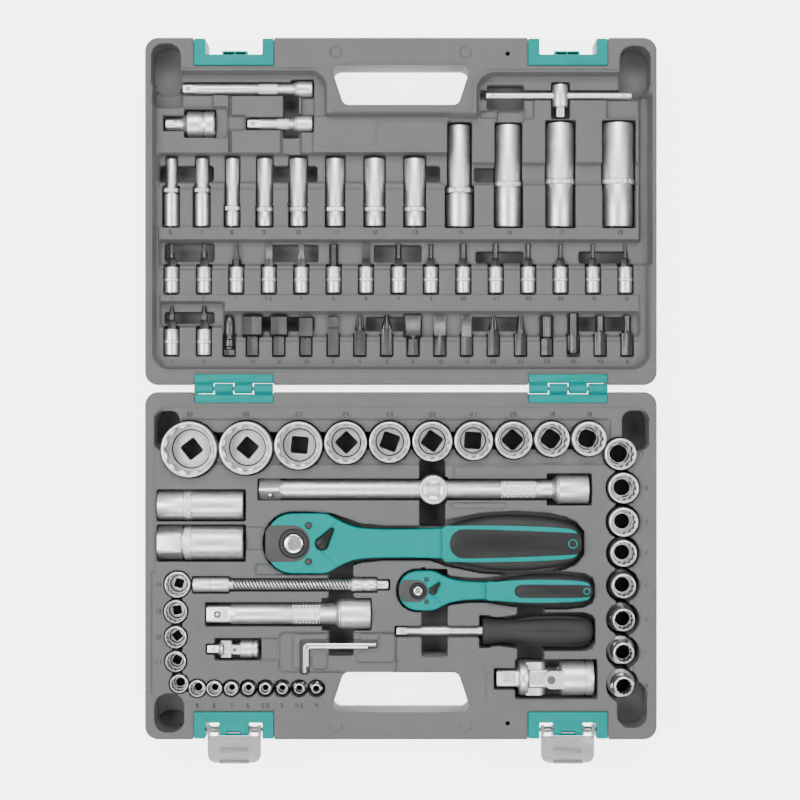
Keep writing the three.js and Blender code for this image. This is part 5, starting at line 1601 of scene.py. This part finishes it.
BIT_TIPS = [
    ("cross_1", cross_bit(2.2)), ("cross_2", cross_bit(2.7)), ("flat_7", flat_bit(7, 1.2, False)),
    ("flat_5", flat_bit(5.5, 1.0, True)), ("flat_4", flat_bit(4, 0.8, True)),
    ("hex_6", [(hexagonal(2.95), 18.2), (hexagonal(2.95), 36.6), (hexagonal(2.5), 37.2)]),
    ("hex_5", rod_bit(hexagonal(2.5, SIX / 2))), ("hex_4", rod_bit(hexagonal(2.0))),
            ("hex_3", rod_bit(hexagonal(1.5))),
    ("star_30", rod_bit(lobes(2.75, 6, 0.26))), ("star_25", rod_bit(lobes(2.2, 6, 0.26))),
    ("star_20", rod_bit(lobes(1.95, 6, 0.26))), ("star_15", rod_bit(lobes(1.65, 6, 0.26))),
    ("star_10", rod_bit(lobes(1.4, 6, 0.26))), ("star_8", rod_bit(lobes(1.15, 6, 0.26))),
]
BIT_AXIS = 29.8
for x, (kind, tip) in zip(BIT_SOCKET_XS, BIT_TIPS):
    lengthwise("bit_socket_" + kind, "lid", bit_socket(tip), x, 72.9, BIT_AXIS, [CHROME, BIT])
for x, kind, radius in ((BIT_SOCKET_XS[0], "ribbed_cross_1", 2.2), (BIT_SOCKET_XS[1], "ribbed_cross_2", 2.7)):
    lengthwise("bit_socket_" + kind, "lid", bit_socket(cross_bit(radius, 0.3)), x, 25.6, BIT_AXIS,
               [CHROME, BIT])

SHANK = hexagonal(4.0, SIX / 2)


def shank(end):
    """The hexagonal shank of a 30 mm bit up to where its head starts."""
    return [(shrunk(SHANK, 0.6), 0.0), (SHANK, 0.6), (SHANK, end)]


def headed(outline, start=15.2, end=30.4):
    return shank(start - 1.6) + [(shrunk(SHANK, 0.35), start - 1.4), (shrunk(SHANK, 0.35), start - 0.6),
                                 (shrunk(outline, 1.2), start), (outline, start + 1.0), (outline, end - 1.0),
                                 (shrunk(outline, 0.9), end)]


LOOSE_BITS = [
    ("square_adapter", shank(4.5) + [(3.1, 5.2), (3.1, 6.4), (3.9, 7.4), (3.9, 12.0), (3.1, 12.8),
                                     (3.1, 14.0),
                                     (3.6, 15.0), (4.0, 17.4), (4.0, 26.0), (3.2, 29.4), (1.6, 31.0)]),
    ("hex_14", headed(hexagonal(7.0, SIX / 2))), ("hex_12", headed(hexagonal(6.0, SIX / 2))),
    ("hex_10", headed(hexagonal(5.0, SIX / 2), 14.0, 29.6)),
    ("hex_8", shank(20.4) + [(shrunk(SHANK, 0.3), 20.8), (shrunk(SHANK, 0.3), 21.4), (SHANK, 21.8),
                             (SHANK, 29.4),
                             (shrunk(SHANK, 0.6), 30.2)]),
    ("cross_4", shank(19.0) + cross_tip(4.0, 19.6, 30.6, 0.0)),
    ("ribbed_cross_3", shank(20.0) + cross_tip(3.9, 20.6, 30.6, 0.0, 0.28)),
    ("flat_12", shank(12.4) + [(5.9, 15.0)] + blade(12, 1.6, 5.9, 15.4, 30.6)),
    ("flat_10", shank(12.8) + [(4.9, 15.0)] + blade(10, 1.4, 4.9, 15.4, 30.6)),
    ("flat_8", shank(14.0) + blade(8, 1.2, 4.0, 14.6, 30.6)),
    ("cross_large", shank(19.0) + cross_tip(4.0, 19.6, 29.8, 0.4)),
    ("ribbed_cross_large", shank(17.0) + cross_tip(3.9, 17.6, 30.4, 0.4, 0.28)),
    ("star_55", headed(lobes(5.4, 6, 0.2), 13.6, 30.6)),
    ("star_50", [(shrunk(lobes(4.2, 6, 0.16), 0.5), 1.8), (lobes(4.2, 6, 0.16), 2.4), (SHANK, 4.0),
                 (SHANK, 15.4),
                 (lobes(4.3, 6, 0.18), 16.6), (lobes(4.3, 6, 0.18), 32.0),
                 (shrunk(lobes(4.3, 6, 0.18), 0.6), 32.6)]),
    ("star_45", shank(18.0) + [(lobes(3.7, 6, 0.2), 19.6), (lobes(3.7, 6, 0.2), 30.0),
                               (shrunk(lobes(3.7, 6, 0.2), 0.5), 30.6)]),
    ("star_40", shank(17.0) + [(lobes(3.2, 6, 0.22), 19.4), (lobes(3.2, 6, 0.22), 30.2),
                               (shrunk(lobes(3.2, 6, 0.22), 0.5), 30.8)]),
]
for x, (kind, steps) in zip(BIT_XS, LOOSE_BITS):
    lengthwise("bit_" + kind, "lid", loft(steps, 60), x, 25.0, BIT_AXIS + 0.6, BIT)


# ---------------------------------------------------------------- hinges, latches and catches

# Takes an outline in Y and Z, with its heights along X
ALONG_X = Matrix(((0, 0, 1, 0), (1, 0, 0, 0), (0, 1, 0, 0), (0, 0, 0, 1)))
HERE = placed()
LEAF_WIDTH = 59
HINGE_AXIS = RIM_Z + 0.25


def clockwise(points):
    area = sum(points[i - 1][0] * p[1] - p[0] * points[i - 1][1] for i, p in enumerate(points))
    return list(reversed(points)) if area > 0 else list(points)


def rounded_corners(points, radius, steps=4):
    """An outline whose corners are rounded; radius is a number or one for each corner."""
    made = []
    count = len(points)
    for i, point in enumerate(points):
        here = Vector(point)
        before = (Vector(points[i - 1]) - here).normalized()
        after = (Vector(points[(i + 1) % count]) - here).normalized()
        size = radius[i] if isinstance(radius, (list, tuple)) else radius
        for k in range(steps + 1):
            t = k / steps
            spot = here + before * size * (1 - t) ** 2 + after * size * t ** 2
            made.append((spot.x, spot.y))
    return clockwise(made)


def drawn_out(outline, low, high, edge=0.4, mark=0):
    """A body from an outline in Y and Z, between two stations of X, with eased edges."""
    body = slab(clockwise(outline), [(edge, low), (0.0, low + edge), (0.0, high - edge), (edge, high)], mark)
    return Shape().join(body, ALONG_X)


def tile(xs, ys, zs, corner=0.6, edge=0.5, mark=0):
    """A block with rounded corners in plan and an eased top edge."""
    outline = rounded_corners([(xs[0], ys[0]), (xs[1], ys[0]), (xs[1], ys[1]), (xs[0], ys[1])], corner)
    return slab(outline, [(0.0, zs[0]), (0.0, zs[1] - edge), (edge * 0.3, zs[1] - edge * 0.3), (edge, zs[1])],
                mark)


def rod_along(low, high, y, z, radius, mark=0, sides=24):
    """A round bar along X with eased ends."""
    body = loft([(radius - 0.3, low), (radius, low + 0.3), (radius, high - 0.3), (radius - 0.3, high)], sides,
                mark=mark)
    return Shape().join(body, Matrix.Translation((0, y, z)) @ Matrix.Rotation(QUARTER, 4, "Y"))


def coil(low, high, y, z, radius, wire, turns, sides=8):
    """A helical spring round an axis along X."""
    shape = Shape()
    stations = int(turns * 16)
    points = []
    for j in range(stations + 1):
        t = j / stations
        angle = 2 * math.pi * turns * t
        middle = Vector((low + (high - low) * t, y + radius * math.cos(angle), z + radius * math.sin(angle)))
        outward = Vector((0, math.cos(angle), math.sin(angle)))
        for k in range(sides):
            a = 2 * math.pi * k / sides
            points.append(middle + wire * (outward * math.cos(a) + Vector((math.sin(a), 0, 0))))
    faces = [(j * sides + k, j * sides + (k + 1) % sides, (j + 1) * sides + (k + 1) % sides,
              (j + 1) * sides + k) for j in range(stations) for k in range(sides)]
    faces += [tuple(range(sides)), tuple(reversed([stations * sides + k for k in range(sides)]))]
    return shape.add(points, faces)


def hinge_leaf(centre, sign, places):
    """A flush leaf with two knuckles whose webs run into it."""
    left = centre - LEAF_WIDTH / 2
    near, far = sorted((sign * 4.1, sign * 10.8))
    shape = tile((left, left + LEAF_WIDTH), (near, far), (RIM_Z - 10, RIM_Z), 0.5, 0.55)
    pitch = LEAF_WIDTH / 4
    arc = [(sign * 3.75 * math.cos(math.radians(a)), HINGE_AXIS + 3.75 * math.sin(math.radians(a)))
           for a in range(-8, 301, 14)]
    outline = arc + [(sign * 5.4, RIM_Z - 3.2), (sign * 5.4, RIM_Z - 0.3)]
    for i in places:
        low = left + i * pitch + (0.55 if i else 0.0)
        high = left + (i + 1) * pitch - (0.55 if i < 3 else 0.0)
        shape.join(drawn_out(outline, low, high, 0.35))
    return shape


for word, centre in (("left", -HARDWARE_X), ("right", HARDWARE_X)):
    for body, sign, places in (("base", -1, (1, 3)), ("lid", 1, (0, 2))):
        node = f"hinge_{word}_{body}_leaf"
        show(node + "_look", hinge_leaf(centre, sign, places), HERE, body, TEAL, [node], 30)
    node = f"hinge_{word}_pin"
    pin_shape = rod_along(centre - 29, centre + 29, 0, HINGE_AXIS, 1.5)
    show(node + "_look", pin_shape, HERE, "base", STEEL, [node], 30)


def latch_frame(centre, sign, floor=14.0):
    """A strip with an arm at each end, seen as a U from above."""
    half = 30
    inner = half - 8.5
    near, strip, far = 243.9, 252.0, 264.0
    plan = [(-half, near), (half, near), (half, far), (inner, far), (inner, strip), (-inner, strip),
            (-inner, far), (-half, far)]
    outline = rounded_corners([(centre + x, sign * y) for x, y in plan], 0.9)
    return slab(outline, [(0.0, floor), (0.0, RIM_Z - 0.6), (0.15, RIM_Z - 0.2), (0.5, RIM_Z)])


PIN_Y, PIN_Z = -257.8, 39.2
BLOCK_HALF = 11.0


def latch_block(centre):
    """The block that holds the pin, rounded in front, with a slot across its brow."""
    radius = 4.7
    front = [(PIN_Y + radius * math.cos(math.radians(a)), PIN_Z + radius * math.sin(math.radians(a)))
             for a in range(96, 271, 12)]
    full = [(-251.6, RIM_Z - 0.05), (-256, RIM_Z - 0.05)] + front + [(-251.6, PIN_Z - radius)]
    notched = []
    for y, z in full:
        deep = -261.9 < y < -259.0 and z > PIN_Z
        notched.append((y + 1.4, z - 2.4) if deep else (y, z))
    stations = [(-BLOCK_HALF, full), (-5.4, full), (-5.35, notched), (5.35, notched), (5.4, full),
                (BLOCK_HALF, full)]
    shape = Shape()
    count = len(full)
    points = [(centre + x, y, z) for x, outline in stations for y, z in outline]
    faces = [(j * count + i, j * count + (i + 1) % count, (j + 1) * count + (i + 1) % count,
              (j + 1) * count + i) for j in range(len(stations) - 1) for i in range(count)]
    faces += [tuple(reversed(range(count))), tuple((len(stations) - 1) * count + i for i in range(count))]
    return shape.add(points, faces)


def latch_flap(centre):
    """A clear flap: a web with a lip, and an ear at each side that the pin runs through."""
    half = 20.2
    inner, outer = PIN_Y - 5.1, PIN_Y - 25.2
    low, high = PIN_Z - 1.25, PIN_Z + 1.25
    web = rounded_corners([(centre - half, inner), (centre + half, inner), (centre + half, outer),
                           (centre - half, outer)], [0.8, 0.8, 7.5, 7.5], 7)
    shape = slab(web, [(0.3, low), (0.0, low + 0.3), (0.0, high - 0.5), (0.2, high - 0.1), (0.6, high)])
    for end in (-1, 1):
        for near, far in ((11.4, 12.3), (17.9, half)):
            xs = sorted((centre + end * near, centre + end * far))
            arc = [(PIN_Y + 3.3 * math.cos(math.radians(a)), PIN_Z + 3.3 * math.sin(math.radians(a)))
                   for a in range(-150, 151, 20)]
            shape.join(drawn_out(arc + [(inner - 1.2, PIN_Z + 1.1), (inner - 1.2, PIN_Z - 1.1)], *xs, 0.2))
    shape.join(tile((centre - 10.8, centre + 10.8), (-275.6, -270.9), (high - 0.4, high + 0.35), 1.2, 0.3))
    shape.join(tile((centre - BLOCK_HALF, centre + BLOCK_HALF), (outer + 0.05, outer + 2.2),
                    (low + 0.6, high + 2.9), 0.5, 0.6))
    return shape


def catch_nub(centre):
    """Two open cells between walls, that the flap's lip hooks behind."""
    low, floor, top = 27.5, 29.5, 36.0
    xs = [-9.5, -8.1, -0.7, 0.7, 8.1, 9.5]
    ys = [251.7, 252.2, 255.0, 256.0]
    corner = {}
    shape = Shape()
    points = []

    def at(i, j, z):
        key = (i, j, z)
        if key not in corner:
            corner[key] = len(points)
            points.append((centre + xs[i], ys[j], z))
        return corner[key]

    def height(i, j):
        if not (0 <= i < 5 and 0 <= j < 3):
            return low
        return floor if i in (1, 3) and j == 1 else top
    faces = []
    for i in range(5):
        for j in range(3):
            z = height(i, j)
            faces.append((at(i, j, z), at(i + 1, j, z), at(i + 1, j + 1, z), at(i, j + 1, z)))
            faces.append((at(i, j, low), at(i, j + 1, low), at(i + 1, j + 1, low), at(i + 1, j, low)))
            for di, dj, ends in ((1, 0, ((i + 1, j), (i + 1, j + 1))), (0, 1, ((i + 1, j + 1), (i, j + 1))),
                                 (-1, 0, ((i, j + 1), (i, j))), (0, -1, ((i, j), (i + 1, j)))):
                other = height(i + di, j + dj)
                if other < z:
                    (a, b), (c, d) = ends
                    faces.append((at(a, b, z), at(a, b, other), at(c, d, other), at(c, d, z)))
    return shape.add(points, faces)


for word, centre in (("left", -HARDWARE_X), ("right", HARDWARE_X)):
    node = f"latch_{word}_bracket"
    bracket = latch_frame(centre, -1).join(latch_block(centre))
    show(node + "_look", bracket, HERE, "base", TEAL, [node], 30)
    slot_bar = rod_along(centre - 5.2, centre + 5.2, -259.6, 42.1, 0.7)
    show(f"latch_{word}_slot_bar", slot_bar, HERE, "base", SPRING)
    node = f"latch_{word}_pin"
    pin_shape = rod_along(centre - 21.5, centre + 21.5, PIN_Y, PIN_Z, 1.5)
    show(node + "_look", pin_shape, HERE, "base", STEEL, [node], 30)
    for side, low in (("a", centre - 17.6), ("b", centre + 12.6)):
        name = f"latch_{word}_spring_{side}"
        spring = coil(low, low + 5.0, PIN_Y, PIN_Z, 2.15, 0.45, 5)
        show(name, spring, HERE, "base", SPRING)
    node = f"latch_{word}_flap"
    show(node + "_look", latch_flap(centre), HERE, "flap_" + word, FLAP, [node], 30)
    node = f"catch_{word}"
    catch = latch_frame(centre, 1).join(catch_nub(centre))
    show(node + "_look", catch, HERE, "lid", TEAL, [node], 30)


# ---------------------------------------------------------------- moulded size numbers

# The strokes stand a little proud and are coloured darker than the case as painted shade.
SEGMENTS = {"0": "abcdef", "1": "bc", "2": "abged", "3": "abgcd", "4": "fgbc", "5": "afgcd", "6": "afgedc",
            "7": "abc", "8": "abcdefg", "9": "abcdfg"}


def surface_at(tray, x, y):
    return float(tray_height(tray, np.array([float(x)]), np.array([float(y)]))[0])


def bar(shape, x0, x1, y0, y1, z):
    """One stroke of a number, a little proud of the tray."""
    shape.join(slab([(x0, y0), (x0, y1), (x1, y1), (x1, y0)], [(0.0, z - 0.4), (0.0, z + 0.14)]))


def number(shape, tray, text, x, y, high=3.3):
    """A size number centred on a spot of a tray, in plain strokes."""
    wide, stroke, pitch = high * 0.56, high * 0.16, high * 0.84
    advances = [pitch * 0.4 if c == "." else pitch for c in text]
    left = x - (sum(advances) - (pitch - wide)) / 2
    z = surface_at(tray, x, y)
    low, top = y - high / 2, y + high / 2
    for c, advance in zip(text, advances):
        if c == ".":
            bar(shape, left, left + stroke, low, low + stroke, z)
        right = left + wide
        places = {"a": (left, right, top - stroke, top), "d": (left, right, low, low + stroke),
                  "g": (left, right, y - stroke / 2, y + stroke / 2), "b": (right - stroke, right, y, top),
                  "c": (right - stroke, right, low, y), "f": (left, left + stroke, y, top),
                  "e": (left, left + stroke, low, y)}
        for segment in SEGMENTS.get(c, ""):
            bar(shape, *places[segment], z)
        left += advance


DEEP_ROW, BIT_SOCKET_ROW, BIT_ROW = 118.6, 68.4, 20.6  # the Y of each row of numbers in the lid
SMALL_NUMBER = 2.9

base_numbers = Shape()
for size in SOCKETS:
    number(base_numbers, base, str(size), centre_of(f"socket_{size}mm")[0], -19.3)
for size, x, y in COLUMN:
    number(base_numbers, base, str(size), 185.2 if size < 17 else 180.6, y)
for size, _, x, y in QUARTER_LEFT[:-1]:
    number(base_numbers, base, str(size), -183.4, y)
for size, _, x, y in QUARTER_FRONT:
    number(base_numbers, base, str(size), x, -239.0)
show("base_size_numbers", base_numbers, HERE, "base", NUMBER_SHADE)

lid_numbers = Shape()
for size, (x, _, _, _) in zip((6, 7, 8, 9, 10, 11, 12, 13), DEEP_QUARTER):
    number(lid_numbers, lid, str(size), x, DEEP_ROW)
for size, (x, _, _, _, _) in zip((14, 15, 17, 19), DEEP_HALF):
    number(lid_numbers, lid, str(size), x, DEEP_ROW)
BIT_SOCKET_SIZES = (1, 2, 7, 5.5, 4, 5, 6, 4, 3, 30, 27, 25, 20, 15, 10)
for size, x in zip(BIT_SOCKET_SIZES, BIT_SOCKET_XS):
    number(lid_numbers, lid, str(size), x, BIT_SOCKET_ROW, SMALL_NUMBER)
for size, x in zip((1, 2), BIT_SOCKET_XS):
    number(lid_numbers, lid, str(size), x, BIT_ROW, SMALL_NUMBER)
for size, x in zip((14, 12, 10, 8, 4, 3, 8, 10, 12, 60, 55, 50, 45, 40, 8), BIT_XS[1:]):
    number(lid_numbers, lid, str(size), x, BIT_ROW, SMALL_NUMBER)
show("lid_size_numbers", lid_numbers, HERE, "lid", NUMBER_SHADE)


# ---------------------------------------------------------------- stage


def area_light(name, size, energy, location, target=(0, 0, 0)):
    light = bpy.data.lights.new(name, "AREA")
    light.shape = "RECTANGLE"
    light.size, light.size_y = size
    light.energy = energy
    lamp = bpy.data.objects.new(name, light)
    lamp.location = location
    direction = Vector(target) - Vector(location)
    lamp.rotation_euler = direction.to_track_quat("-Z", "Y").to_euler()
    bpy.context.collection.objects.link(lamp)


def floor_and_light():
    bm = bmesh.new()
    bmesh.ops.create_grid(bm, x_segments=1, y_segments=1, size=3.0)
    mesh = bpy.data.meshes.new("floor")
    bm.to_mesh(mesh)
    bm.free()
    floor_look, shader = principled("floor_white", (0.96, 0.96, 0.96), 0.9, Specular_IOR_Level=0.0)
    shader.inputs["Emission Color"].default_value = (1.0, 1.0, 1.0, 1.0)
    shader.inputs["Emission Strength"].default_value = 3.6
    mesh.materials.append(floor_look)
    floor = bpy.data.objects.new("floor", mesh)
    floor.location.z = -0.0004
    bpy.context.collection.objects.link(floor)
    # Four soft boxes round the camera, off its own line, so that flat faces don't mirror them.
    area_light("left_box", (0.8, 1.1), 29, (-1.15, 0.0, 1.55))
    area_light("right_box", (0.8, 1.1), 19, (1.15, 0.0, 1.55))
    area_light("far_box", (1.3, 0.7), 29, (0.0, 1.2, 1.5))
    area_light("near_box", (1.3, 0.7), 19, (0.0, -1.2, 1.5))
    world = bpy.data.worlds.new("studio")
    world.use_nodes = True
    background = world.node_tree.nodes["Background"]
    background.inputs["Color"].default_value = (1.0, 1.0, 1.0, 1.0)
    background.inputs["Strength"].default_value = 0.38
    bpy.context.scene.world = world


def add_camera():
    """The camera looks straight down, as far off as the sockets' visible sides say."""
    height = 1.35
    framed_width = 0.603
    sensor = 36.0
    camera_data = bpy.data.cameras.new("camera")
    camera_data.sensor_width = sensor
    camera_data.lens = sensor * height / framed_width
    camera = bpy.data.objects.new("camera", camera_data)
    camera.location = (-0.0007, HINGE_Y * MM - 0.0086, RIM_Z * MM + height)
    bpy.context.collection.objects.link(camera)
    bpy.context.scene.camera = camera


floor_and_light()
add_camera()
